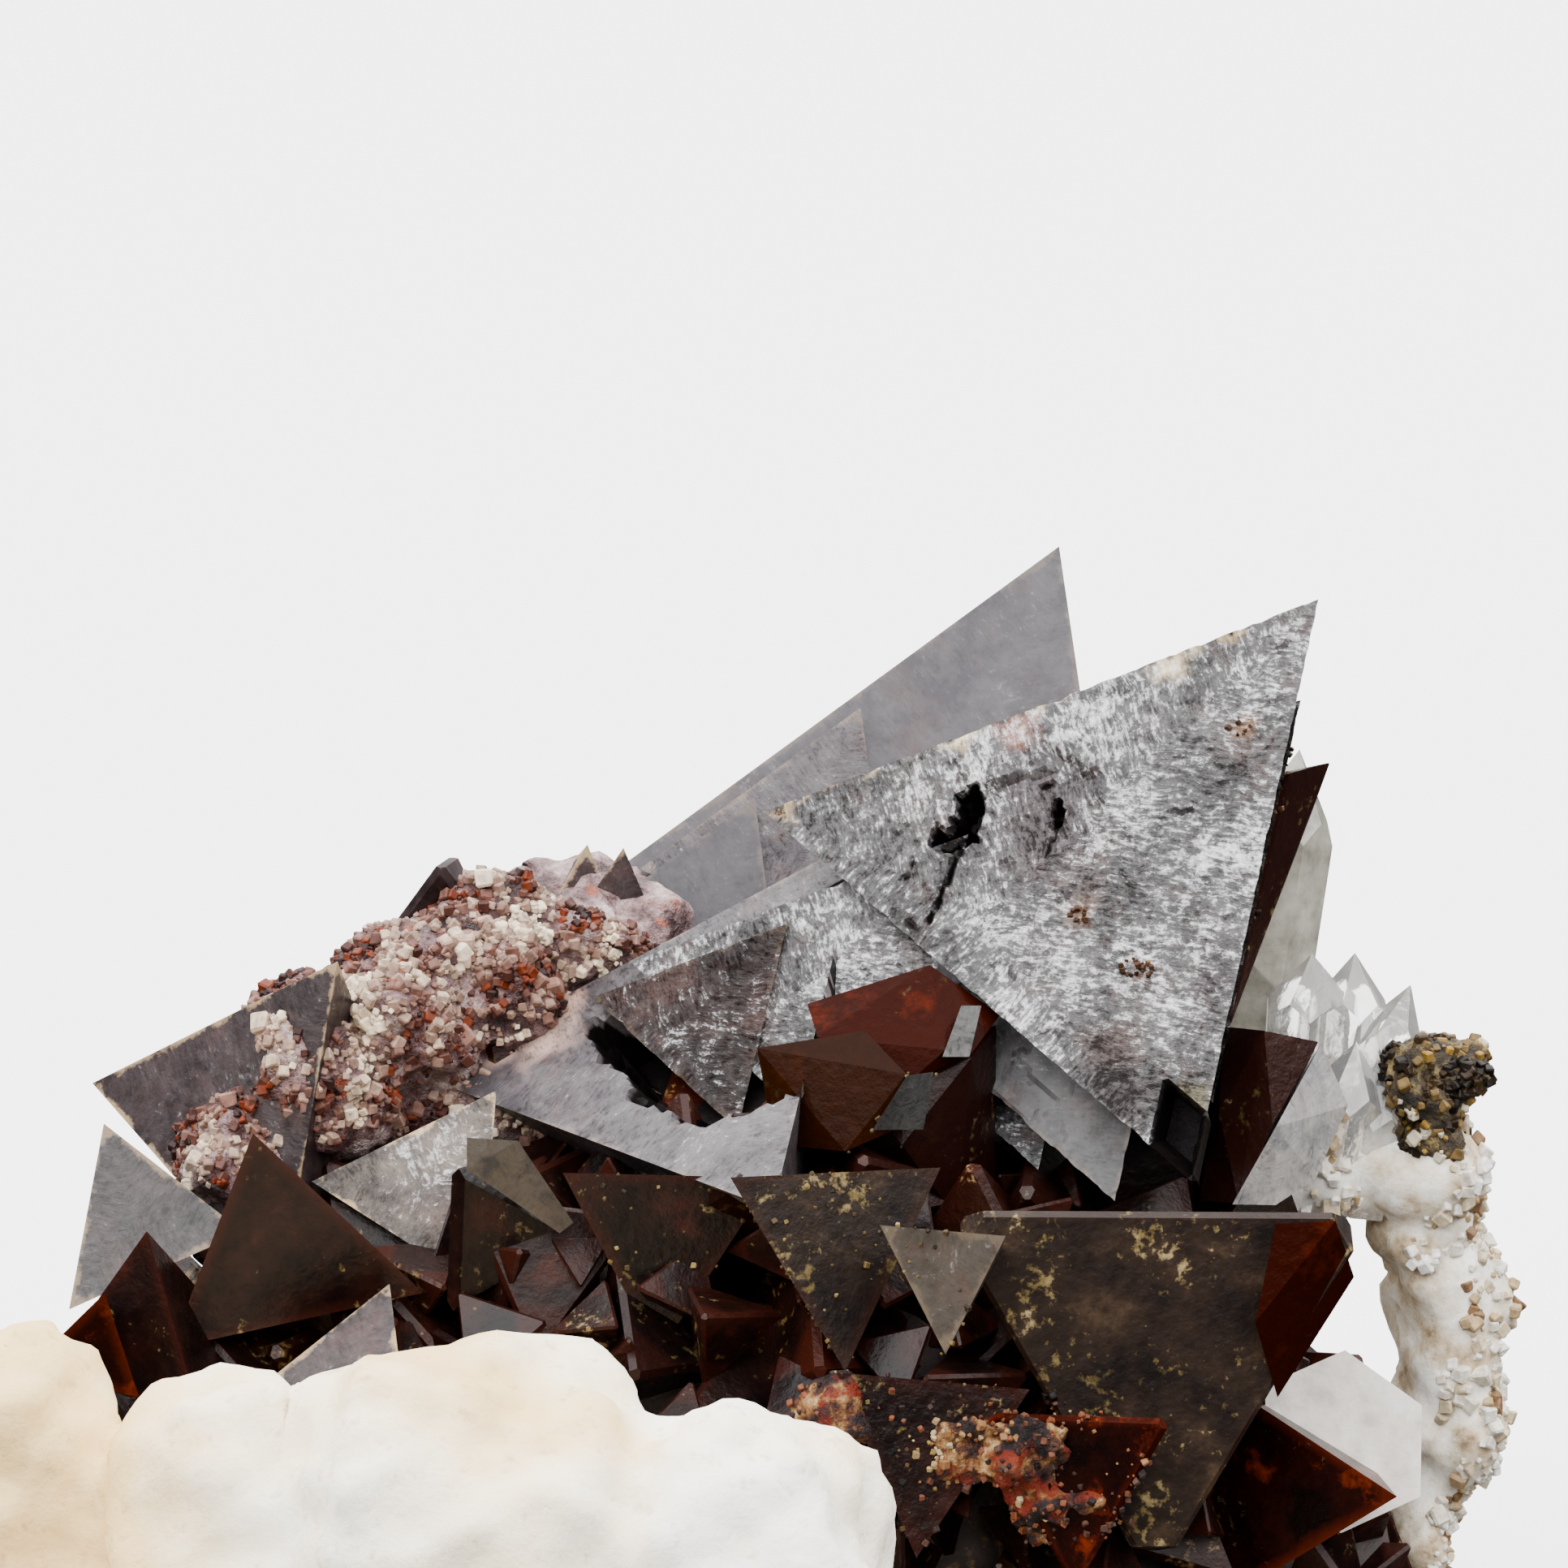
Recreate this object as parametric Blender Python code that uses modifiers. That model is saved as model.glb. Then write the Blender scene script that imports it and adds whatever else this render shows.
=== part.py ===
"""A helvine specimen: dark red-brown tetrahedral crystals grown together on a lump of pale vein rock.

The model is in metres with +Z up, and the rock's flat cut base rests on the XY plane. The best crystal
faces look towards -Y. Sizes and places below are in millimetres, and MM turns them to metres.
"""

import math
import random

import bmesh
import bpy
from mathutils import Matrix, Vector, noise

MM = 0.001
GAP = 0.3                 # clearance between a piece and its bed in its neighbour
ROCK_GAP = 0.9            # the same for a rough piece, whose bed follows it less closely
ORIGIN = (-0.45, 0.1)     # the point of the base that becomes the origin
WELD = 0.002              # corners closer than this are one
CENTROID = 0.204          # a tetrahedron's middle is this share of its edge away from each face
HEIGHT = math.sqrt(2 / 3)  # a tetrahedron's height as a share of its edge
GOLDEN = math.pi * (3 - math.sqrt(5))

# A helvine crystal is a tetrahedron, told by the face that is best seen: the middle of that face (x, y, z),
# the length of its edges, the way the face looks (degrees from -Y towards +X, and upwards), the turn of its
# first corner clockwise from upright, how much of each edge a cube face cuts off, and how much each tip
# loses, both as shares of the edge length.
MAIN = (-20, 29, 34)
BACK = (6, 24, 25)
CLUSTER = [
    # the large bright group, grown parallel
    (13.0, 4.2, 33.0, 16.3, *MAIN, 0, 0),
    (11.2, 4.0, 32.4, 16.5, *MAIN, 0, 0),
    (8.4, 6.3, 33.24, 9.5, *MAIN, 0, 0),
    (0.6, 2.4, 27.8, 6.4, *MAIN, 0, 0),
    (2.4, 3.2, 28.6, 7.6, *MAIN, 0, 0),
    (11.4, 2.9, 27.1, 9.5, *MAIN, 0, 0),
    (10.0, 3.7, 25.1, 4.5, *MAIN, 0, 0),
    (14.1, 1.7, 26.4, 5.0, *MAIN, 0, 0),
    (13.9, 4.4, 31.5, 13.0, *MAIN, 0, 0),
    (16.0, 8.3, 30.6, 9.5, 21, -5, 50, 0, 0),
    (14.4, 4.6, 23.8, 7.2, 12, 8, -52, 0, 0),
    # the tall crystal behind, with its parallel steps
    (7.8, 13.9, 30.3, 19.3, *BACK, 0, 0),
    (3.5, 12.9, 30.5, 9.0, *BACK, 0, 0),
    (0.3, 11.1, 28.4, 8.0, *BACK, 0, 0),
    # the wide face that leans back at the left of the bright group
    (-0.1, 3.9, 26.8, 15.7, -40, 56, 6, 0, 0),
    # the dark blocky crystals in front and at the right
    (6.4, 4.7, 27.8, 9.5, -69, 70, -26, 0.05, 0),
    (4.4, 0.2, 26.2, 5.4, 28, 10, -47, 0, 0),
    (7.1, -1.5, 25.5, 4.2, -42, 36, 11, 0, 0),
    (17.1, 4.0, 24.9, 6.2, -59, 26, 44, 0, 0),
    (15.6, 4.0, 22.2, 6.2, -59, 26, 44, 0, 0),
    (13.7, -5.6, 20.4, 12.8, -1, 8, 60, 0.02, 0.12),
    (7.5, -7.2, 22.9, 4.1, -32, 5, -65, 0, 0),
    (16.0, -2.8, 14.8, 9.8, -34, 6, -39, 0, 0),
    (-0.5, -2.2, 22.4, 6.2, 9, 5, -56, 0, 0),
    (4.6, -4.1, 22.9, 6.6, 23, 16, -56, 0, 0),
    (7.1, -7.2, 17.9, 5.8, 16, 14, -50, 0, 0),
    (11.2, -7.9, 17.0, 6.4, -17, 11, -64, 0, 0),
    (-5.4, -1.2, 21.9, 5.5, 14, 0, -27, 0.1, 0),
    # the left-hand group
    (-13.7, 3.4, 24.5, 10.2, -35, 17, 30, 0, 0),
    (-16.2, -0.2, 22.2, 5.7, -12, 38, -28, 0, 0),
    (-16.0, -3.8, 19.7, 5.7, -30, 9, 5, 0, 0),
    (-17.0, -5.3, 19.8, 3.4, 5, -5, 15, 0, 0),
    (-11.7, -2.3, 21.7, 7.6, 10, -14, -11, 0, 0),
    (-9.5, -3.9, 19.2, 4.5, -18, 49, 7, 0, 0),
    (-7.7, 2.0, 22.6, 6.2, -2, 32, 32, 0, 0),
]

# The crust of small crystals that covers the mounds of rock: each dome's middle and half-axes, the number
# of crystals on it, the height on the dome where they end, the shortest and longest edge, and the seed.
DOMES = [
    ((2.5, 5.5, 6.0), (20.0, 12.0, 18.0), 104, 0.0, (4.8, 8.2), 16),
    ((-12.0, 3.5, 6.0), (8.5, 9.5, 14.0), 40, 0.1, (4.6, 7.0), 16),
]
BARE_BACK = 0.35          # behind this share of a dome's depth the rock is bare

# A quartz crystal is a six-sided prism with a six-sided point: the middle of its foot, its tip, its radius,
# the share of its length that is the point, and its turn.
PRISM = ((17.2, 8.2, 20.0), (20.4, 9.8, 34.6), 2.4, 0.3, 10)
QUARTZ_POINTS = [
    ((19.6, 6.8, 22.6), (22.8, 7.6, 28.2), 1.5, 0.5, 15),
    ((19.4, 7.6, 23.0), (19.8, 8.1, 28.8), 1.7, 0.4, 40),
    ((20.8, 6.0, 22.6), (21.8, 5.6, 26.8), 1.3, 0.5, 0),
    ((19.2, 8.8, 22.2), (17.6, 12.0, 27.6), 1.5, 0.5, 25),
]
PLATE = ((19.6, -1.8, 15.9), 2.8, 1.4, (14, 34, 12))  # middle of its face, radius, thickness and looks

# Rock is told by lumps: the middle and the half-axes of each.
MATRIX_LUMPS = [
    ((2.5, 5.5, 5.0), (19.0, 10.8, 16.5)),
    ((6.0, 15.5, 9.0), (14.5, 10.0, 15.0)),
    ((-12.0, 5.0, 5.0), (9.5, 10.0, 13.0)),
    ((-5.0, -20.5, 12.0), (8.0, 7.0, 13.3)),
    ((1.5, -21.0, 9.0), (6.0, 6.5, 13.5)),
    ((-11.5, -20.0, 11.0), (5.0, 6.5, 13.0)),
    ((-20.5, -18.0, 11.5), (6.0, 7.0, 15.0)),
    ((-8.0, -10.0, 3.0), (17.0, 11.0, 8.0)),
    ((14.0, -2.0, 1.0), (10.0, 9.5, 9.0)),
    ((19.0, 6.0, 2.0), (5.5, 8.0, 7.0)),
]
ARCH = [
    ((20.2, 6.0, 3.0), 2.4), ((22.0, 6.2, 7.0), 1.8), ((23.2, 6.4, 10.6), 1.6), ((24.0, 6.8, 13.2), 1.6),
    ((23.8, 6.8, 15.6), 1.3), ((23.7, 7.2, 17.6), 1.4), ((23.0, 7.6, 19.8), 1.3), ((22.8, 7.6, 21.6), 1.4),
    ((21.6, 7.8, 23.6), 1.7), ((19.8, 8.0, 24.8), 2.1), ((17.4, 8.2, 24.4), 2.2),
]
ARCH_DEPTH = 1.7          # the arch is this many times deeper, front to back, than it is wide
LEDGE_LUMPS = [
    ((-13.4, 5.0, 22.8), (2.4, 3.2, 2.2)),
    ((-11.2, 6.0, 24.9), (2.6, 3.4, 2.5)),
    ((-8.6, 7.2, 26.6), (2.7, 3.6, 2.6)),
    ((-6.0, 8.8, 27.8), (2.6, 3.6, 2.6)),
    ((-3.2, 11.0, 27.9), (2.8, 3.4, 2.3)),
    ((-7.5, 10.0, 21.5), (7.0, 5.0, 5.5)),
]
NUB_LUMPS = [
    ((23.1, 6.6, 24.2), (1.5, 1.7, 1.3)),
    ((24.2, 6.2, 25.0), (1.1, 1.3, 0.9)),
    ((22.8, 6.4, 22.8), (1.1, 1.3, 1.0)),
]
# Ragged hollows in the large faces: the middle and the half-axes of each.
HOLLOWS = [
    ((-1.5, 4.2, 26.4), (0.8, 1.1, 0.8)),
    ((-0.6, 2.6, 25.9), (0.8, 1.2, 0.8)),
    ((0.8, 0.9, 25.5), (0.9, 1.1, 0.8)),
    ((2.1, 0.5, 25.8), (0.9, 0.8, 0.8)),
    ((8.5, 5.8, 33.5), (0.6, 0.9, 1.2)),
]
RAGGED = 0.25             # how far a hollow's corners stray, as a share of its half-axes

# Small helvine crystals that stand on the ledge, told as those of the cluster.
LEDGE_CRYSTALS = [
    (-7.7, 8.6, 29.5, 3.7, -6, -28, 3, 0.08, 0),
    (-3.3, 11.6, 29.2, 2.2, 38, 11, 13, 0, 0),
    (-2.2, 11.6, 29.2, 2.2, 23, 10, 10, 0, 0),
]

VOXEL = 0.9               # cell size when lumps are melted into one rock
GRAIN = 4.5               # size of the humps on rock
RELIEF = 1.1              # height of the humps on rock

# Materials: colour, roughness and metallic share.
FINISHES = {
    "helvine_red_brown": ((0.09, 0.035, 0.03), 0.3, 0.0),
    "vein_rock": ((0.8, 0.74, 0.64), 0.85, 0.0),
    "crusted_rock": ((0.4, 0.31, 0.3), 0.7, 0.0),
    "quartz": ((0.8, 0.79, 0.78), 0.15, 0.0),
    "iron_oxide": ((0.2, 0.13, 0.06), 0.8, 0.0),
}


def clear_scene():
    for thing in list(bpy.data.objects):
        bpy.data.objects.remove(thing, do_unlink=True)


def finish(name):
    colour, roughness, metallic = FINISHES[name]
    material = bpy.data.materials.get(name) or bpy.data.materials.new(name)
    material.use_nodes = True
    shader = material.node_tree.nodes["Principled BSDF"]
    shader.inputs["Base Color"].default_value = (*colour, 1)
    shader.inputs["Roughness"].default_value = roughness
    shader.inputs["Metallic"].default_value = metallic
    material.diffuse_color = (*colour, 1)
    return material


def keep(solid, name, collection):
    """Turns a bmesh into an object in the collection."""
    bmesh.ops.recalc_face_normals(solid, faces=solid.faces)
    mesh = bpy.data.meshes.new(name)
    solid.to_mesh(mesh)
    solid.free()
    thing = bpy.data.objects.new(name, mesh)
    collection.objects.link(thing)
    if collection.hide_render:
        thing.hide_render = True
        thing.display_type = "WIRE"
    return thing


def largest_body(solid):
    """The vertices of the largest of the bodies that a mesh is made of."""
    bodies = []
    waiting = set(solid.verts)
    while waiting:
        start = waiting.pop()
        body, front = {start}, [start]
        while front:
            vertex = front.pop()
            near = {e.other_vert(vertex) for e in vertex.link_edges} & waiting
            front.extend(near)
            body |= near
            waiting -= near
        bodies.append(body)
    return max(bodies, key=len)


def settle(thing):
    """Applies the object's modifiers and drops any crumb that they cut loose."""
    bpy.context.view_layer.update()
    graph = bpy.context.evaluated_depsgraph_get()
    mesh = bpy.data.meshes.new_from_object(thing.evaluated_get(graph))
    thing.modifiers.clear()
    solid = bmesh.new()
    solid.from_mesh(mesh)
    bmesh.ops.remove_doubles(solid, verts=solid.verts, dist=WELD * MM)
    body = largest_body(solid)
    bmesh.ops.delete(solid, geom=[v for v in solid.verts if v not in body], context="VERTS")
    solid.to_mesh(mesh)
    solid.free()
    thing.data = mesh


def combine(thing, others, operation):
    """Joins other objects to the thing, or cuts them from it."""
    for other in others:
        change = thing.modifiers.new(operation.lower(), "BOOLEAN")
        change.operation = operation
        change.object = other
        change.solver = "EXACT"
    settle(thing)


def placed(x, y, z):
    return Vector((x - ORIGIN[0], y - ORIGIN[1], z)) * MM


def face_frame(x, y, z, facing, rise, spin):
    """The matrix that takes a crystal from its own frame, face up in XY with a corner at +Y, to its place."""
    f, q = math.radians(facing), math.radians(rise)
    outward = Vector((math.sin(f) * math.cos(q), -math.cos(f) * math.cos(q), math.sin(q)))
    side = Vector((math.cos(f), math.sin(f), 0))
    turn = Matrix((side, outward.cross(side), outward)).transposed().to_4x4()
    return Matrix.Translation(placed(x, y, z)) @ turn @ Matrix.Rotation(-math.radians(spin), 4, "Z")


def trim(solid, point, normal):
    """Cuts away what lies beyond a plane and closes the cut."""
    geometry = solid.verts[:] + solid.edges[:] + solid.faces[:]
    cut = bmesh.ops.bisect_plane(solid, geom=geometry, plane_co=point, plane_no=normal, clear_outer=True)
    rim = [e for e in cut["geom_cut"] if isinstance(e, bmesh.types.BMEdge)]
    if rim:
        bmesh.ops.edgeloop_fill(solid, edges=rim)


def tetrahedron(size, bevel, tip, swell):
    """A tetrahedron with its face in XY and its fourth corner below, trimmed, each face swell outwards."""
    edge = size + swell / CENTROID
    solid = bmesh.new()
    bmesh.ops.create_cone(
        solid, cap_ends=True, segments=3, radius1=0, radius2=edge / math.sqrt(3), depth=edge * HEIGHT,
        matrix=Matrix.Translation((0, 0, swell - edge * HEIGHT / 2)),
    )
    corners = [v.co.copy() for v in solid.verts]
    middle = sum(corners, Vector()) / 4
    for i in range(4):
        outward = corners[i] - middle
        if tip:
            trim(solid, middle + outward * (1 - tip * 4 / 3), outward)
        for j in range(i):
            across = (corners[i] + corners[j]) / 2 - middle
            if bevel:
                trim(solid, middle + across * (1 - bevel * 2), across)
    return solid


def crust(middle, radii, count, lowest, edges, seed):
    """The small crystals over a dome, each told as those of the cluster, spread evenly by the golden angle."""
    draw = random.Random(seed)
    for i in range(count):
        height = 1 - (1 - lowest) * (i + 0.5) / count
        reach = math.sqrt(1 - height * height)
        along = (math.cos(i * GOLDEN) * reach, math.sin(i * GOLDEN) * reach, height)
        if along[1] > BARE_BACK:
            continue
        x, y, z = (a * r for a, r in zip(along, radii))
        edge = draw.uniform(*edges)
        facing = math.degrees(math.atan2(x, -y)) + draw.uniform(-50, 50)
        rise = draw.uniform(-35, 60)
        spin = draw.uniform(0, 120)
        yield (middle[0] + x, middle[1] + y, middle[2] + z, edge, facing, rise, spin, 0, 0)


def grown_together(crystals, name, collection, swell):
    """All the crystals of a list as one body, each face swell outwards."""
    made = []
    for i, (x, y, z, edge, facing, rise, spin, bevel, tip) in enumerate(crystals):
        solid = tetrahedron(edge * MM, bevel, tip, swell * MM)
        bmesh.ops.transform(solid, matrix=face_frame(x, y, z, facing, rise, spin), verts=solid.verts)
        made.append(keep(solid, f"{name}_{i}", collection))
    body = made[0]
    combine(body, made[1:], "UNION")
    for other in made[1:]:
        bpy.data.objects.remove(other, do_unlink=True)
    body.name = name
    return body


def hollows(collection):
    """The ragged hollows, each a blocky lump to cut away."""
    draw = random.Random(4)
    made = []
    for i, (middle, radii) in enumerate(HOLLOWS):
        solid = bmesh.new()
        bmesh.ops.create_icosphere(solid, subdivisions=1, radius=1)
        for vertex in solid.verts:
            stray = 1 + draw.uniform(-RAGGED, RAGGED)
            vertex.co = placed(*middle) + Vector([a * r * stray * MM for a, r in zip(vertex.co, radii)])
        made.append(keep(solid, f"hollow_{i}", collection))
    return made


def quartz_point(foot, tip, radius, share, turn, name, collection, swell):
    """A six-sided prism with a six-sided point, from its foot to its tip."""
    foot, tip = placed(*foot), placed(*tip)
    wide = (radius + swell) * MM
    top = (tip - foot).length + swell * MM
    solid = bmesh.new()
    bmesh.ops.create_cone(
        solid, cap_ends=True, segments=6, radius1=wide, radius2=wide, depth=top + swell * MM,
        matrix=Matrix.Translation((0, 0, (top - swell * MM) / 2)),
    )
    for side in range(6):
        angle = math.radians(60 * side)
        slope = Vector((math.sin(angle) * top * share, math.cos(angle) * top * share, wide))
        trim(solid, Vector((0, 0, top)), slope)
    lean = (tip - foot).to_track_quat("Z", "Y").to_matrix().to_4x4()
    stand = Matrix.Translation(foot) @ lean @ Matrix.Rotation(math.radians(turn), 4, "Z")
    bmesh.ops.transform(solid, matrix=stand, verts=solid.verts)
    return keep(solid, name, collection)


def quartz_group(name, collection, swell):
    """The clear quartz points grown together at the right."""
    made = [quartz_point(*point, f"{name}_{i}", collection, swell) for i, point in enumerate(QUARTZ_POINTS)]
    combine(made[0], made[1:], "UNION")
    for other in made[1:]:
        bpy.data.objects.remove(other, do_unlink=True)
    made[0].name = name
    return made[0]


def quartz_plate(name, collection, swell):
    """The pale flat crystal: a low six-sided tablet."""
    middle, radius, thickness, looks = PLATE
    wide = (radius + swell) * MM
    solid = bmesh.new()
    bmesh.ops.create_cone(
        solid, cap_ends=True, segments=6, radius1=wide * 0.8, radius2=wide, depth=(thickness + swell * 2) * MM,
        matrix=Matrix.Translation((0, 0, -thickness * MM / 2)),
    )
    bmesh.ops.transform(solid, matrix=face_frame(*middle, *looks), verts=solid.verts)
    return keep(solid, name, collection)


def rock(lumps, name, collection, swell, share):
    """Lumps melted into one rough rock, with only the share of its faces that the form needs."""
    solid = bmesh.new()
    for middle, radii in lumps:
        size = Matrix.Diagonal((*((r + swell) * MM for r in radii), 1))
        place = Matrix.Translation(placed(*middle)) @ size
        bmesh.ops.create_icosphere(solid, subdivisions=3, radius=1, matrix=place)
    thing = keep(solid, name, collection)
    melt = thing.modifiers.new("melt", "REMESH")
    melt.mode = "VOXEL"
    melt.voxel_size = VOXEL * MM
    settle(thing)
    pushes = []
    for vertex in thing.data.vertices:
        hump = noise.fractal(vertex.co / (GRAIN * MM), 0.8, 2.2, 3)
        pushes.append(vertex.normal * hump * RELIEF * MM)
    for vertex, push in zip(thing.data.vertices, pushes):
        vertex.co += push
    fewer = thing.modifiers.new("fewer", "DECIMATE")
    fewer.ratio = share
    settle(thing)
    return thing


def ledge_rock(name, collection, swell):
    """The crusted ledge with the small crystals that stand on it."""
    ledge = rock(LEDGE_LUMPS, name, collection, swell, 0.12)
    for crystal in LEDGE_CRYSTALS:
        standing = grown_together([crystal], "standing", collection, swell)
        combine(ledge, [standing], "UNION")
        bpy.data.objects.remove(standing, do_unlink=True)
    return ledge


def cut_flat(thing):
    """Cuts the rock off flat at the ground."""
    solid = bmesh.new()
    solid.from_mesh(thing.data)
    trim(solid, Vector((0, 0, 0)), Vector((0, 0, -1)))
    bmesh.ops.recalc_face_normals(solid, faces=solid.faces)
    solid.to_mesh(thing.data)
    solid.free()


def colour(thing, name):
    thing.data.materials.clear()
    thing.data.materials.append(finish(name))


def main():
    clear_scene()
    home = bpy.data.collections.new("helvine_specimen")
    cutters = bpy.data.collections.new("cutters")
    cutters.hide_render = True
    for collection in (home, cutters):
        bpy.context.scene.collection.children.link(collection)

    crystals = CLUSTER + [crystal for dome in DOMES for crystal in crust(*dome)]
    cluster = grown_together(crystals, "helvine_cluster", home, 0)
    cluster_bed = grown_together(crystals, "helvine_bed", cutters, GAP)
    combine(cluster, hollows(cutters), "DIFFERENCE")
    colour(cluster, "helvine_red_brown")

    prism = quartz_point(*PRISM, "quartz_prism", home, 0)
    points = quartz_group("quartz_points", home, 0)
    plate = quartz_plate("quartz_plate", home, 0)
    prism_bed = quartz_point(*PRISM, "prism_bed", cutters, GAP)
    points_bed = quartz_group("points_bed", cutters, GAP)
    plate_bed = quartz_plate("plate_bed", cutters, GAP)
    combine(prism, [cluster_bed], "DIFFERENCE")
    combine(points, [cluster_bed, prism_bed], "DIFFERENCE")
    combine(plate, [cluster_bed], "DIFFERENCE")
    for quartz in (prism, points, plate):
        colour(quartz, "quartz")

    ledge = ledge_rock("crusted_ledge", home, 0)
    ledge_bed = ledge_rock("ledge_bed", cutters, ROCK_GAP)
    combine(ledge, [cluster_bed], "DIFFERENCE")
    colour(ledge, "crusted_rock")

    nub = rock(NUB_LUMPS, "oxide_nub", home, 0, 0.5)
    nub_bed = rock(NUB_LUMPS, "nub_bed", cutters, ROCK_GAP, 0.5)
    combine(nub, [points_bed, cluster_bed], "DIFFERENCE")
    colour(nub, "iron_oxide")

    lumps = MATRIX_LUMPS + [(spot, (wide, wide * ARCH_DEPTH, wide * 1.4)) for spot, wide in ARCH]
    matrix = rock(lumps, "matrix_rock", home, 0, 0.03)
    cut_flat(matrix)
    beds = [cluster_bed, prism_bed, points_bed, plate_bed, ledge_bed, nub_bed]
    combine(matrix, beds, "DIFFERENCE")
    colour(matrix, "vein_rock")


main()
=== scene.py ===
import math
import random

import bmesh
import bpy
import numpy as np
from mathutils import Matrix, Vector, noise


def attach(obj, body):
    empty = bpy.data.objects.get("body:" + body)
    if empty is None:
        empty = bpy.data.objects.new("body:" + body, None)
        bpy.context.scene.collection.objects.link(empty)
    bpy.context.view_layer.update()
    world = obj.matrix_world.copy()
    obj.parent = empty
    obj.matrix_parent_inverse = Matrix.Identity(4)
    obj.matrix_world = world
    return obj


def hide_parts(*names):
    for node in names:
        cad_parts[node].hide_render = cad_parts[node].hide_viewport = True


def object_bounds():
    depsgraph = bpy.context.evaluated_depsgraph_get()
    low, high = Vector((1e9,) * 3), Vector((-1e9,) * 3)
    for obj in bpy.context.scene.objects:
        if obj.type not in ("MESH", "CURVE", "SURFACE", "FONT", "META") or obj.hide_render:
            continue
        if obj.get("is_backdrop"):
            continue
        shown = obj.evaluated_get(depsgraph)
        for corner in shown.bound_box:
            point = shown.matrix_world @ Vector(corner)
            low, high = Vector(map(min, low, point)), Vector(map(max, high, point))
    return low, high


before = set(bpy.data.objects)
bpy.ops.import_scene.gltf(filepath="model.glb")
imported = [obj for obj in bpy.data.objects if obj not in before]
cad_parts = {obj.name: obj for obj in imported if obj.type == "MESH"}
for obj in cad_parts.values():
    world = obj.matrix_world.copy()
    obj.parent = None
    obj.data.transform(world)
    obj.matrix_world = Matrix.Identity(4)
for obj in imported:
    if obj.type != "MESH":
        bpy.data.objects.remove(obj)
cad_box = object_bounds()

MM = 0.001
ORIGIN = (-0.45, 0.1)     # the point of the base, in mm, that the solids have as their origin


# Vein rock. The specimen stands on a lump of calcite and quartz broken from a vein: white to cream, rough,
# stained brown where iron ran over it. A thin arch of the same rock rises at the right behind the crystals.
# It was split from the vein and sawn flat underneath, so that it stands.
def placed(x, y, z):
    return Vector((x - ORIGIN[0], y - ORIGIN[1], z)) * MM


def linear(code):
    """An sRGB hex colour as linear red, green and blue with alpha 1."""
    parts = [int(code[i:i + 2], 16) / 255 for i in (1, 3, 5)]
    return (*(c / 12.92 if c <= 0.04045 else ((c + 0.055) / 1.055) ** 2.4 for c in parts), 1)


def add(tree, kind, inputs=None, stops=None, **settings):
    """Adds a node. Its inputs are values, hex colours, or sockets and nodes to link. Stops are a ramp's.

    The kinds of shader nodes are told without their common beginning. A mix is of colours if nothing else is
    said.
    """
    made = tree.nodes.new(kind if "Node" in kind else "ShaderNode" + kind)
    if kind == "Mix":
        settings = {"data_type": "RGBA", **settings}
    for key, value in settings.items():
        setattr(made, key, value)
    for key, value in (inputs or {}).items():
        if isinstance(value, bpy.types.Node):
            value = next(output for output in value.outputs if output.enabled)
        if isinstance(value, bpy.types.NodeSocket):
            tree.links.new(value, made.inputs[key])
        elif isinstance(value, str) and value.startswith("#"):
            made.inputs[key].default_value = linear(value)
        else:
            made.inputs[key].default_value = value
    if stops:
        while len(made.color_ramp.elements) < len(stops):
            made.color_ramp.elements.new(0.5)
        for stop, (place, code) in zip(made.color_ramp.elements, stops):
            stop.position = place
            stop.color = linear(code)
    return made


def new_material(name):
    """A material, its tree, and its object coordinates in mm, so a pattern's scale is for each mm."""
    material = bpy.data.materials.new(name)
    material.use_nodes = True
    tree = material.node_tree
    tree.nodes.clear()
    place = add(tree, "TexCoord").outputs["Object"]
    spot = add(tree, "VectorMath", {0: place, "Scale": 1 / MM}, operation="SCALE")
    return material, tree, spot


def linked(name, data):
    """A new object in the scene, from its mesh, light or camera."""
    thing = bpy.data.objects.new(name, data)
    bpy.context.scene.collection.objects.link(thing)
    return thing


def keep(solid, name):
    """Turns a bmesh into an object at the origin."""
    mesh = bpy.data.meshes.new(name)
    solid.to_mesh(mesh)
    solid.free()
    return linked(name, mesh)


def belongs(thing, solid_name, finish=None):
    """Makes an object part of the specimen, in place of a solid of the frame, with its material if told."""
    if finish:
        thing.data.materials.append(finish)
    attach(thing, "root")
    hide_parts(solid_name)


def applied(thing):
    """Makes the object's modifiers part of its mesh."""
    graph = bpy.context.evaluated_depsgraph_get()
    mesh = bpy.data.meshes.new_from_object(thing.evaluated_get(graph))
    thing.modifiers.clear()
    thing.data = mesh


def trim(solid, point, normal):
    """Cuts away what lies beyond a plane and closes the cut."""
    geometry = solid.verts[:] + solid.edges[:] + solid.faces[:]
    cut = bmesh.ops.bisect_plane(solid, geom=geometry, plane_co=point, plane_no=normal, clear_outer=True)
    rim = [e for e in cut["geom_cut"] if isinstance(e, bmesh.types.BMEdge)]
    if rim:
        bmesh.ops.edgeloop_fill(solid, edges=rim)


HUMP_WIDTH, HUMP_HEIGHT = 4.5, 1.1     # a rock's broad humps, mm
RELIEF_WIDTH, CREASE_WIDTH = 1.3, 0.8  # its finer relief and the creases in it, mm


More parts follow.
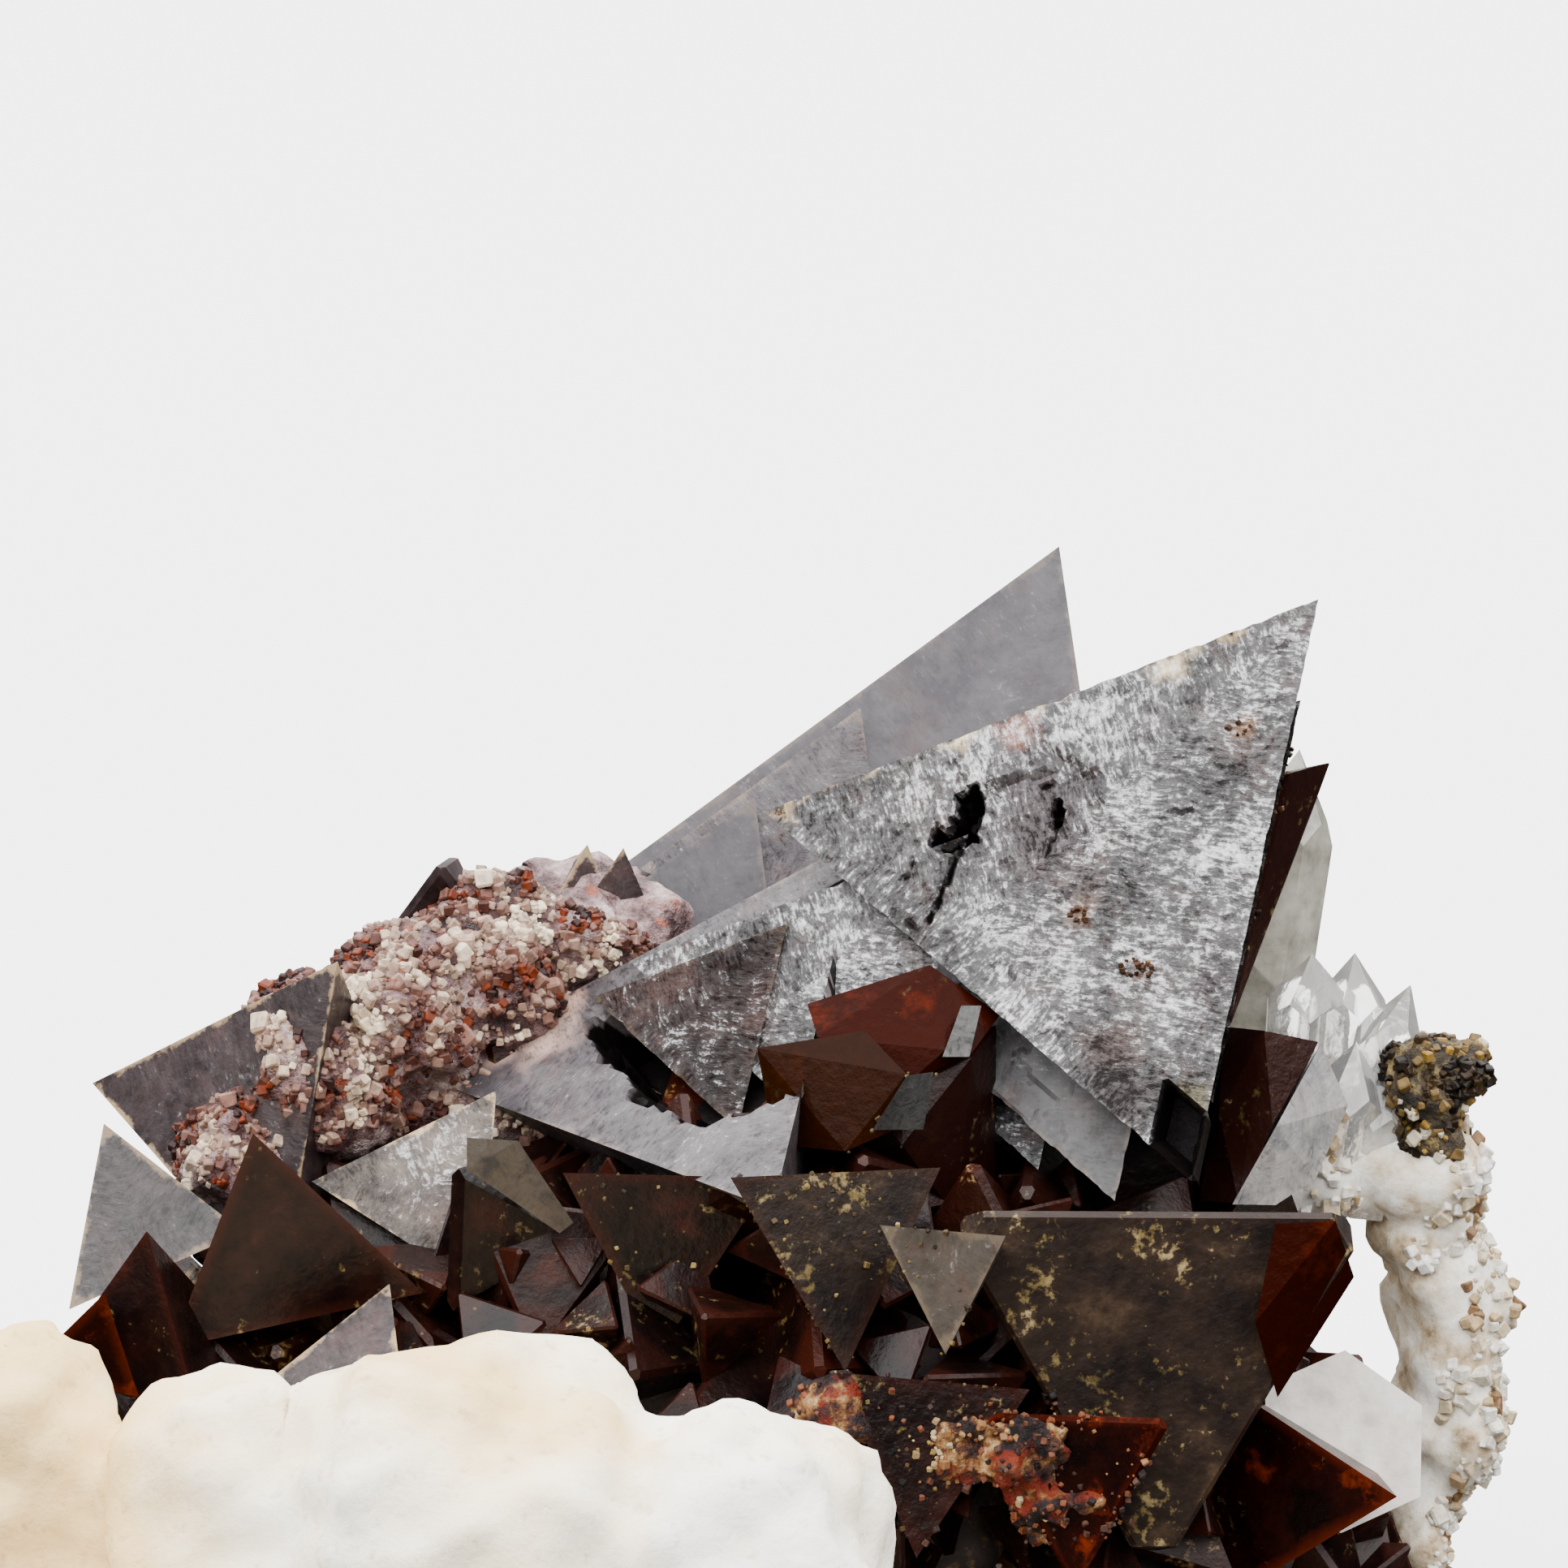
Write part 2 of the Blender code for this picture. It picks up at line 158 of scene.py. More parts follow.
def rock(lumps, name, cell, fine):
    """Lumps melted into one rock with humps, and finer relief of the height fine. Cell is its mesh's size."""
    solid = bmesh.new()
    for middle, radii in lumps:
        size = Matrix.Diagonal((*(r * MM for r in radii), 1))
        bmesh.ops.create_icosphere(
            solid, subdivisions=4, radius=1, matrix=Matrix.Translation(placed(*middle)) @ size,
        )
    thing = keep(solid, name)
    melt = thing.modifiers.new("melt", "REMESH")
    melt.mode = "VOXEL"
    melt.voxel_size = cell * MM
    applied(thing)
    pushes = []
    for vertex in thing.data.vertices:
        spot = vertex.co / MM
        hump = noise.fractal(spot / HUMP_WIDTH, 0.8, 2.2, 3) * HUMP_HEIGHT
        crease = abs(noise.noise(spot / CREASE_WIDTH)) * 0.6
        small = noise.fractal(spot / RELIEF_WIDTH, 0.7, 2.1, 3) - crease
        pushes.append(vertex.normal * (hump + small * fine) * MM)
    for vertex, push in zip(thing.data.vertices, pushes):
        vertex.co += push
    thing.data.shade_smooth()
    return thing


# A lump is told as its middle and its radii, and one of the arch as its middle and half its width, in mm.
MATRIX_LUMPS = [
    ((2.5, 5.5, 5.0), (19.0, 10.8, 16.5)),
    ((6.0, 15.5, 9.0), (14.5, 10.0, 15.0)),
    ((-12.0, 5.0, 5.0), (9.5, 10.0, 13.0)),
    ((-5.0, -20.5, 12.0), (8.0, 7.0, 13.3)),
    ((1.5, -21.0, 9.0), (6.2, 6.5, 15.0)),
    ((-11.5, -20.0, 11.0), (5.0, 6.5, 13.0)),
    ((-20.5, -18.0, 11.5), (6.0, 7.0, 15.0)),
    ((-17.0, -18.5, 12.0), (4.2, 5.0, 13.6)),
    ((-8.0, -10.0, 3.0), (17.0, 11.0, 8.0)),
    ((14.0, -2.0, 1.0), (10.0, 9.5, 9.0)),
    ((19.0, 6.0, 2.0), (5.5, 8.0, 7.0)),
]
ARCH = [
    ((20.2, 6.0, 3.0), 2.4), ((22.0, 6.2, 7.0), 1.8), ((23.2, 6.4, 10.6), 1.6), ((24.0, 6.8, 13.2), 1.6),
    ((23.8, 6.8, 15.6), 1.3), ((23.7, 7.2, 17.6), 1.4), ((23.0, 7.6, 19.8), 1.3), ((22.8, 7.6, 21.6), 1.4),
    ((21.4, 7.8, 22.6), 1.3), ((19.8, 8.2, 22.4), 1.6), ((17.4, 8.4, 21.8), 2.0),
]
ARCH_DEPTH = 1.7          # how much deeper than wide the arch is
ARCH_OVERLAP = 1.4        # how much taller than wide its lumps are
ROCK_SHADE_SPAN = [(1, -5.5, -2.5), (1, 13.5, 11.5), (2, 10.5, 13.5)]    # axis, unshaded there and painted near black as shade there, mm

# Calcite, broken and weathered: matte and chalky, white with cream clouds. The arch is tanner, with brown
# stains in its dips. Between the crystals the rock is painted near black as shade.
vein_rock, tree, spot = new_material("weathered_vein_calcite")
grit = add(tree, "TexNoise", {"Vector": spot, "Scale": 1.7, "Detail": 6.0, "Roughness": 0.65})
broad = add(tree, "TexNoise", {"Vector": spot, "Scale": 0.13, "Detail": 3.0})
apart = add(tree, "SeparateXYZ", {0: spot})
# Painted warm shading: past x -10 mm the rock's colour is pushed towards its deepest cream, more so further
# left.
painted_warm_shading = add(tree, "MapRange", {"Value": apart, "From Min": -10.0, "From Max": -15.0, "To Max": -0.22})
clouds = add(tree, "Math", {0: broad, 1: painted_warm_shading}, operation="ADD")
chalk = add(tree, "ValToRGB", {"Fac": clouds}, [(0.36, "#e9c88c"), (0.5, "#f9ebcf"), (0.64, "#fdf7ec")])
cloud = add(tree, "TexNoise", {"Vector": spot, "Scale": 0.45, "Detail": 5.0, "Roughness": 0.65})
tans = add(
    tree, "ValToRGB", {"Fac": cloud},
    [(0.32, "#6b5238"), (0.4, "#b7a284"), (0.48, "#d6cab5"), (0.6, "#f0ece4")],
)
on_arch = add(tree, "MapRange", {"Value": apart, "From Min": 15.0, "From Max": 18.5})
strayed = add(
    tree, "VectorMath", {0: cloud.outputs["Color"], 1: (9.0, 9.0, 9.0), 2: spot}, operation="MULTIPLY_ADD",
)
apart = add(tree, "SeparateXYZ", {0: strayed})
# Painted shade: dusty is the share of near black painted over the rock's top between the crystals, off the
# arch.
dusty = add(tree, "Math", {0: 1.0, 1: on_arch}, operation="SUBTRACT")
for axis, outside, inside in ROCK_SHADE_SPAN:
    part = add(tree, "MapRange", {"Value": apart.outputs[axis], "From Min": outside, "From Max": inside})
    dusty = add(tree, "Math", {0: dusty, 1: part}, operation="MULTIPLY")
dips = add(tree, "MapRange", {"Value": grit, "From Min": 0.43, "From Max": 0.3, "To Max": 0.35})
colour = chalk
for share, over in ((on_arch, tans), (dusty, "#1c0f0b"), (dips, "#8a6a43")):
    colour = add(tree, "Mix", {"Factor": share, "A": colour, "B": over})
lift = add(tree, "Bump", {"Height": grit, "Strength": 0.35, "Distance": 0.3 * MM})
shader = add(tree, "BsdfPrincipled", {"Base Color": colour, "Roughness": 0.8, "IOR": 1.55, "Normal": lift})
add(tree, "OutputMaterial", {"Surface": shader})

arch_lumps = [(middle, (wide, wide * ARCH_DEPTH, wide * ARCH_OVERLAP)) for middle, wide in ARCH]
vein = rock(MATRIX_LUMPS + arch_lumps, "vein_lump", 0.42, 0.15)
flat = bmesh.new()
flat.from_mesh(vein.data)
trim(flat, Vector((0, 0, 0)), Vector((0, 0, -1)))
flat.to_mesh(vein.data)
flat.free()
belongs(vein, "matrix_rock", vein_rock)


# Crust of small helvine crystals. Helvine grows as tetrahedra, and a crust of small ones covers the rock at
# the front and on top, each growing out of its neighbours. They are red-brown and glossy, near black in the
# gaps between them, where the rock under them is painted near black as shade. The arch has pale grains of
# the rock's own minerals instead.
MAIN = (-20, 29, 34)
BACK = (6, 24, 25)
GOLDEN = math.pi * (3 - math.sqrt(5))
# A dome is told as its middle and radii in mm, its count of crystals, the height that they reach down to,
# the range of their edges and a seed.
DOMES = [
    ((2.5, 5.5, 6.0), (20.0, 12.0, 18.0), 104, 0.0, (4.8, 8.2), 16),
    ((-12.0, 3.5, 6.0), (8.5, 9.5, 14.0), 40, 0.1, (4.6, 7.0), 16),
    ((2.5, 4.5, 6.0), (20.4, 13.2, 18.0), 300, 0.0, (1.8, 3.6), 8),
]
BARE_BACK = 0.35          # behind this share of a dome's depth the rock is bare
ASKEW = 50                # how far a small crystal looks away from straight outwards, degrees
RISES = (-35, 60)         # how steeply it looks down or up, degrees
SMALL_EDGE = 6.0          # the middling edge of a small crystal, mm


def crust(middle, radii, count, lowest, edges, seed):
    """The small crystals over a dome, spread evenly by the golden angle."""
    draw = random.Random(seed)
    for i in range(count):
        height = 1 - (1 - lowest) * (i + 0.5) / count
        reach = math.sqrt(1 - height * height)
        along = (math.cos(i * GOLDEN) * reach, math.sin(i * GOLDEN) * reach, height)
        if along[1] > BARE_BACK:
            continue
        x, y, z = (a * r for a, r in zip(along, radii))
        edge = draw.uniform(*edges)
        facing = math.degrees(math.atan2(x, -y)) + draw.uniform(-ASKEW, ASKEW)
        rise = draw.uniform(*RISES)
        spin = draw.uniform(0, 120)
        yield (middle[0] + x, middle[1] + y, middle[2] + z, edge, facing, rise, spin)


def face_turn(facing, rise, spin):
    """Turns a crystal from its own frame, face up and a corner at +Y, to the way that its face looks."""
    f, q = math.radians(facing), math.radians(rise)
    outward = Vector((math.sin(f) * math.cos(q), -math.cos(f) * math.cos(q), math.sin(q)))
    side = Vector((math.cos(f), math.sin(f), 0))
    turn = Matrix((side, outward.cross(side), outward)).transposed()
    return turn @ Matrix.Rotation(-math.radians(spin), 3, "Z")


def smooth_skin(spot, far, side):
    """A face that hasn't been etched: no relief, no pits painted as shade, no added painted highlight and no
    stain.
    """
    return 0, 0, 0, (0, 0, 0, 0)


SLANT = 0.866             # the sine of a face's 60 degree corners
TOP, OTHER_FACE = 2, 3    # the best face's edge that a point is nearest to, or not on that face


def crystal(edge, bevel, tip, steps, skin=smooth_skin, shift=(0, 0, 0), sectors=(1, 1, 1), chips=0):
    """A tetrahedron in mm with its best face in XY, every face a grid of steps.

    The skin tells, for a point at shift from the skin's own middle, how deep the face is sunk there, how much
    of it is pit painted black as shade, how much painted highlight it adds, and its stain. The UV map growth
    measures in mm along the nearest edge and across it, and far is how far that edge is. Sectors weigh the
    best face's edges where the nearest is sought. Chips is the most that an edge is broken back.
    """
    across = edge / math.sqrt(3)
    corners = [np.array((math.sin(a) * across, math.cos(a) * across, 0)) for a in np.radians((0, 120, 240))]
    corners.append(np.array((0, 0, -edge * math.sqrt(2 / 3))))
    middle = sum(corners) / 4
    grid = [(i, j) for i in range(steps + 1) for j in range(steps + 1 - i)]
    number = {cell: k for k, cell in enumerate(grid)}
    cells = []
    for i, j in grid:
        if i + j < steps:
            cells.append([number[c] for c in ((i, j), (i + 1, j), (i, j + 1))])
        if i + j < steps - 1:
            cells.append([number[c] for c in ((i + 1, j), (i + 1, j + 1), (i, j + 1))])
    cells = np.array(cells)
    shares = np.array([((steps - i - j) / steps, i / steps, j / steps) for i, j in grid])
    places, faces, growth, marks = [], [], [], []
    for order in ((0, 2, 1), (0, 1, 3), (1, 2, 3), (2, 0, 3)):
        best = order[2] == 1
        ends = np.array([corners[k] for k in order])
        normal = np.cross(ends[1] - ends[0], ends[2] - ends[0])
        normal /= np.linalg.norm(normal)
        flat = shares @ ends
        sides = shares.argmin(axis=1) if best else [OTHER_FACE] * len(shares)
        far = shares.min(axis=1) * edge * SLANT
        found = [skin(*one) for one in zip(flat + shift, far, sides)]
        marks.extend((away, *one[1:3], *one[3]) for away, one in zip(far, found))
        spots = (flat + shift)[cells]
        faces.append(cells + len(places) * len(grid))
        for k, spot in enumerate(flat):
            if chips and far[k] < 1e-6:
                broken = max(0, noise.noise(Vector(spot) * 1.7) + noise.noise(Vector(spot) * 4.1) * 0.5 + 0.1)
                found[k] = (0,)
                flat[k] += (middle - spot) / np.linalg.norm(middle - spot) * chips * broken
        places.append(flat - np.outer([sunk[0] for sunk in found], normal))
        middles = shares[cells].mean(axis=1) * (sectors if best else (1, 1, 1))
        ragged = np.array([noise.noise(Vector(spot) * 9) * 0.05 for spot in middles])
        near = (middles + np.stack((ragged, -ragged, 0 * ragged), axis=1)).argmin(axis=1)
        runs = (np.roll(ends, -2, axis=0) - np.roll(ends, -1, axis=0)) / edge
        inward = np.cross(normal, runs)
        along, across_it = ((spots * axes[near][:, None]).sum(axis=2) for axes in (runs, inward))
        growth.append(np.stack((along, across_it), axis=2))
    mesh = bpy.data.meshes.new("crystal")
    mesh.from_pydata(np.concatenate(places).tolist(), [], np.concatenate(faces).tolist())
    layer = mesh.uv_layers.new(name="growth")
    layer.data.foreach_set("uv", np.concatenate(growth).astype(np.float32).ravel())
    marks = np.array(marks, dtype=np.float32)
    for column, mark in enumerate(("far", "hollow_shade", "white")):
        mesh.attributes.new(mark, "FLOAT", "POINT").data.foreach_set("value", marks[:, column].copy())
    mesh.attributes.new("stain", "FLOAT_COLOR", "POINT").data.foreach_set("color", marks[:, 3:].ravel())
    solid = bmesh.new()
    solid.from_mesh(mesh)
    bpy.data.meshes.remove(mesh)
    bmesh.ops.remove_doubles(solid, verts=solid.verts, dist=1e-4)
    middle = Vector(middle)
    for i in range(4):
        outward = Vector(corners[i]) - middle
        if tip:
            trim(solid, middle + outward * (1 - tip * 4 / 3), outward)
        for j in range(i):
            sideways = Vector(corners[i] + corners[j]) / 2 - middle
            if bevel:
                trim(solid, middle + sideways * (1 - bevel * 2), sideways)
    return solid


def block(corners):
    """A solid with flat faces that spans the corners, told in mm. It has the same UV map, and the marks far
    and stain.
    """
    solid = bmesh.new()
    for corner in corners:
        solid.verts.new(corner)
    hull = bmesh.ops.convex_hull(solid, input=solid.verts)
    inner = [part for part in hull["geom_interior"] if isinstance(part, bmesh.types.BMVert)]
    bmesh.ops.delete(solid, geom=inner, context="VERTS")
    bmesh.ops.dissolve_limit(solid, angle_limit=math.radians(4), verts=solid.verts, edges=solid.edges)
    middles = set(bmesh.ops.poke(solid, faces=solid.faces)["verts"])
    layer = solid.loops.layers.uv.new("growth")
    far = solid.verts.layers.float.new("far")
    stain = solid.verts.layers.float_color.new("stain")
    for vertex in solid.verts:
        vertex[stain] = (0, 0, 0, 0)
    for face in solid.faces:
        loops = sorted(face.loops, key=lambda loop: loop.vert in middles)
        start, end, peak = (loop.vert.co for loop in loops)
        run = (end - start).normalized()
        depth = (peak - start - run * (peak - start).dot(run)).length
        for loop in loops:
            across = depth if loop.vert in middles else 0
            loop[layer].uv = ((loop.vert.co - start).dot(run), across)
            loop.vert[far] = across
    return solid


HELVINE_IOR = 1.74


def helvine(name, body, painted_glow, specks, rough, shine=0.09):
    """Glossy helvine: dark where it is thick, with painted glowing light at its thin edges, dusted with pale
    specks.
    """
    material, tree, spot = new_material(name)
    far, tone, stain = (add(tree, "Attribute", attribute_name=part) for part in ("far", "tone", "stain"))
    cloud = add(tree, "TexNoise", {"Vector": spot, "Scale": 0.55, "Detail": 5.0, "Roughness": 0.65})
    inside = add(tree, "ValToRGB", {"Fac": cloud}, [(0.36, body[0]), (0.55, body[1]), (0.72, body[2])])
    ragged = add(tree, "Math", {0: cloud, 1: 0.8, 2: far.outputs["Fac"]}, operation="MULTIPLY_ADD")
    # Painted glowing light: near the thin edges the colour is mixed towards the glowing colour, as if lit
    # through.
    thin = add(tree, "MapRange", {"Value": ragged, "From Min": 0.75, "From Max": 0.35, "To Max": painted_glow[1]})
    blot = add(tree, "TexNoise", {"Vector": spot, "Scale": 3.2, "Detail": 4.0, "Roughness": 0.65})
    dusty = add(tree, "TexNoise", {"Vector": spot, "Scale": 0.5, "Detail": 3.0})
    dust = add(tree, "Math", {0: dusty, 1: 0.8, 2: blot}, operation="MULTIPLY_ADD")
    dot = add(
        tree, "MapRange",
        {"Value": dust, "From Min": 1.1 - specks * 0.12, "From Max": 1.22 - specks * 0.12, "To Max": 0.85},
    )
    pale = add(tree, "ValToRGB", {"Fac": cloud}, [(0.35, "#3a2f17"), (0.5, "#6d5d38"), (0.65, "#a8946c")])
    colour = inside
    for share, over in ((thin, painted_glow[0]), (dot, pale), (stain.outputs["Alpha"], stain)):
        colour = add(tree, "Mix", {"Factor": share, "A": colour, "B": over})
    toned = add(tree, "Mix", {"Factor": 1.0, "A": colour, "B": tone}, blend_type="MULTIPLY")
    fine = add(tree, "TexNoise", {"Vector": spot, "Scale": 2.6, "Detail": 5.0, "Roughness": 0.62})
    lift = add(tree, "Bump", {"Height": fine, "Strength": 0.5, "Distance": 0.1 * MM})
    shader = add(
        tree, "BsdfPrincipled",
        {"Base Color": toned, "Roughness": rough, "IOR": HELVINE_IOR, "Specular IOR Level": shine,
         "Normal": lift},
    )
    add(tree, "OutputMaterial", {"Surface": shader})
    return material


dark_helvine = helvine("dark_helvine", ("#080303", "#190b08", "#31150f"), ("#3a160d", 0.35), 0.25, 0.28)


def placing_tree(name):
    """A Geometry Nodes tree that puts an object at every point, turned and sized as the point says."""
    tree = bpy.data.node_groups.new(name, "GeometryNodeTree")
    tree.interface.new_socket("Geometry", in_out="INPUT", socket_type="NodeSocketGeometry")
    tree.interface.new_socket("Shape", in_out="INPUT", socket_type="NodeSocketObject")
    tree.interface.new_socket("Finish", in_out="INPUT", socket_type="NodeSocketMaterial")
    tree.interface.new_socket("Geometry", in_out="OUTPUT", socket_type="NodeSocketGeometry")
    source = add(tree, "NodeGroupInput")
    shape = add(tree, "GeometryNodeObjectInfo", {"Object": source.outputs["Shape"]})
    turn = add(tree, "GeometryNodeInputNamedAttribute", {"Name": "turn"}, data_type="FLOAT_VECTOR")
    rotation = add(tree, "FunctionNodeEulerToRotation", {0: turn})
    size = add(tree, "GeometryNodeInputNamedAttribute", {"Name": "size"}, data_type="FLOAT")
    copies = add(
        tree, "GeometryNodeInstanceOnPoints",
        {"Points": source.outputs["Geometry"], "Instance": shape.outputs["Geometry"], "Rotation": rotation,
         "Scale": size},
    )
    real = add(tree, "GeometryNodeRealizeInstances", {0: copies})
    finish = add(tree, "GeometryNodeSetMaterial", {"Geometry": real, "Material": source.outputs["Finish"]})
    add(tree, "NodeGroupOutput", {0: finish})
    return tree


def run_tree(thing, tree, values):
    """Runs a Geometry Nodes tree on an object, inputs by name, and keeps the result as a plain mesh."""
    modifier = thing.modifiers.new(tree.name, "NODES")
    modifier.node_group = tree
    for socket in tree.interface.items_tree:
        if socket.name in values and socket.in_out == "INPUT":
            modifier[socket.identifier] = values[socket.name]
    applied(thing)


def copies_at(name, spots, turns, sizes, tones, shape, finish):
    """Copies of a shape at many places as one object. Each has its own size, turn and tone."""
    mesh = bpy.data.meshes.new(name)
    mesh.from_pydata(spots, [], [])
    mesh.attributes.new("turn", "FLOAT_VECTOR", "POINT").data.foreach_set("vector", np.ravel(turns))
    mesh.attributes.new("size", "FLOAT", "POINT").data.foreach_set("value", sizes)
    mesh.attributes.new("tone", "FLOAT_COLOR", "POINT").data.foreach_set("color", np.ravel(tones))
    thing = linked(name, mesh)
    run_tree(thing, copy_tree, {"Shape": shape, "Finish": finish})
    return thing


GRAIN_STRAY = 0.12        # how far, in mm, a grain may lie from the point of its rock that it is drawn for


def grains(name, home, count, sizes, colours, seed, wanted):
    """Small blocky grains on a rock, at its points that are wanted. A grain's tone is its colour.

    The colours run from dark to light, and grains close together have like ones.
    """
    draw = random.Random(seed)
    places = [vertex for vertex in home.data.vertices if wanted(vertex.co / MM, vertex.normal)]
    chosen = draw.sample(places, min(count, len(places)))
    tones, spots = [], []
    for vertex in chosen:
        slide = Vector([draw.uniform(-GRAIN_STRAY, GRAIN_STRAY) for axis in range(3)]) * MM
        spots.append(vertex.co + slide - vertex.normal * slide.dot(vertex.normal))
        light = 0.5 + noise.fractal(vertex.co / MM * 0.7, 0.8, 2.0, 3) * 0.7 + draw.uniform(-0.16, 0.16)
        tones.append(linear(colours[min(len(colours) - 1, max(0, int(light * len(colours))))]))
    return copies_at(
        name, spots,
        [[draw.uniform(0, math.tau) for axis in range(3)] for vertex in chosen],
        [draw.triangular(sizes[0], sizes[1], sizes[0]) * MM for vertex in chosen],
        tones, grain, grain_finish,
    )


copy_tree = placing_tree("copies_on_places")
small_crystal = keep(crystal(SMALL_EDGE, 0.04, 0.1, 3), "small_crystal")
crust_crystals = [one for dome in DOMES for one in crust(*dome)]
draw = random.Random(5)
crust_tones = []
for one in crust_crystals:
    level, red = draw.uniform(0.35, 1.35), draw.uniform(0.9, 1.25)
    crust_tones.append((level * red, level, level / red, 1))
small_crust = copies_at(
    "crust_of_small_crystals",
    [placed(*one[:3]) for one in crust_crystals],
    [face_turn(*one[4:7]).to_euler() for one in crust_crystals],
    [one[3] / SMALL_EDGE * MM for one in crust_crystals],
    crust_tones, small_crystal, dark_helvine,
)
bpy.data.objects.remove(small_crystal)

# Grains of crust: each has one colour, mottled lighter and darker, with a dull waxy surface.
grain_finish, tree, spot = new_material("crust_grains")
tone = add(tree, "Attribute", attribute_name="tone")
mottle = add(tree, "TexNoise", {"Vector": spot, "Scale": 3.0, "Detail": 4.0, "Roughness": 0.7})
shade = add(
    tree, "MapRange", {"Value": mottle, "From Min": 0.35, "From Max": 0.65, "To Min": 0.55, "To Max": 1.1},
)
mottled = add(tree, "VectorMath", {0: tone, "Scale": shade}, operation="SCALE")
shader = add(tree, "BsdfPrincipled", {"Base Color": mottled, "Roughness": 0.5, "Specular IOR Level": 0.2})
add(tree, "OutputMaterial", {"Surface": shader})

grain_solid = bmesh.new()
bmesh.ops.create_cube(grain_solid, size=1)
for vertex in grain_solid.verts:
    vertex.co *= 1 + 0.5 * noise.noise(vertex.co * 3)
bmesh.ops.bevel(grain_solid, geom=grain_solid.edges[:], offset=0.14, segments=1, affect="EDGES")
grain = keep(grain_solid, "grain")
ARCH_GRAINS = ("#7d5f42", "#a98f6b", "#cdbb9c", "#ddd3c2", "#e3dccf", "#ebe6dc", "#f1ede6")
ARCH_SPAN = 19.5, 6.8, 3.6         # the arch is right of this x, around this y, and this far either side


def on_the_arch(spot, up):
    """Whether a point is on the arch's right side, in patches, above its foot."""
    right_of, middle, reach = ARCH_SPAN
    outer = spot.x > right_of and up.x > noise.noise(spot * 0.6)
    return outer and spot.z > 6 and abs(spot.y - middle) < reach


arch_grains = grains("arch_grains", vein, 1300, (0.12, 0.6), ARCH_GRAINS, 3, on_the_arch)
belongs(arch_grains, "matrix_rock")
belongs(small_crust, "helvine_cluster")


# Bright group. One large helvine crystal and six smaller ones grew parallel to each other, so their faces
# lie in one direction and flash together. The faces are etched: grey, with hackly streaks that run from each
# edge towards the middle, their flakes painted white as highlights and the gaps between them painted near
# black as shade, a pit and a lost corner, both painted black as shade, and cream crust along the upper edge.
# Painted light on etched faces: the flake colour is painted highlight, the gap colour painted shade between
# flakes, and the last colour painted shade in pits and broken parts.
BROWN_BLUSH, GAP_SHADE, FLAKE_HIGHLIGHT, RIM_CRUST, PIT_SHADE = "#4e3833", "#0d0a0a", "#d6d5d8", "#b59a76", "#0a0707"
FLAKE_SPREAD = 0.3        # how far a flake tilts


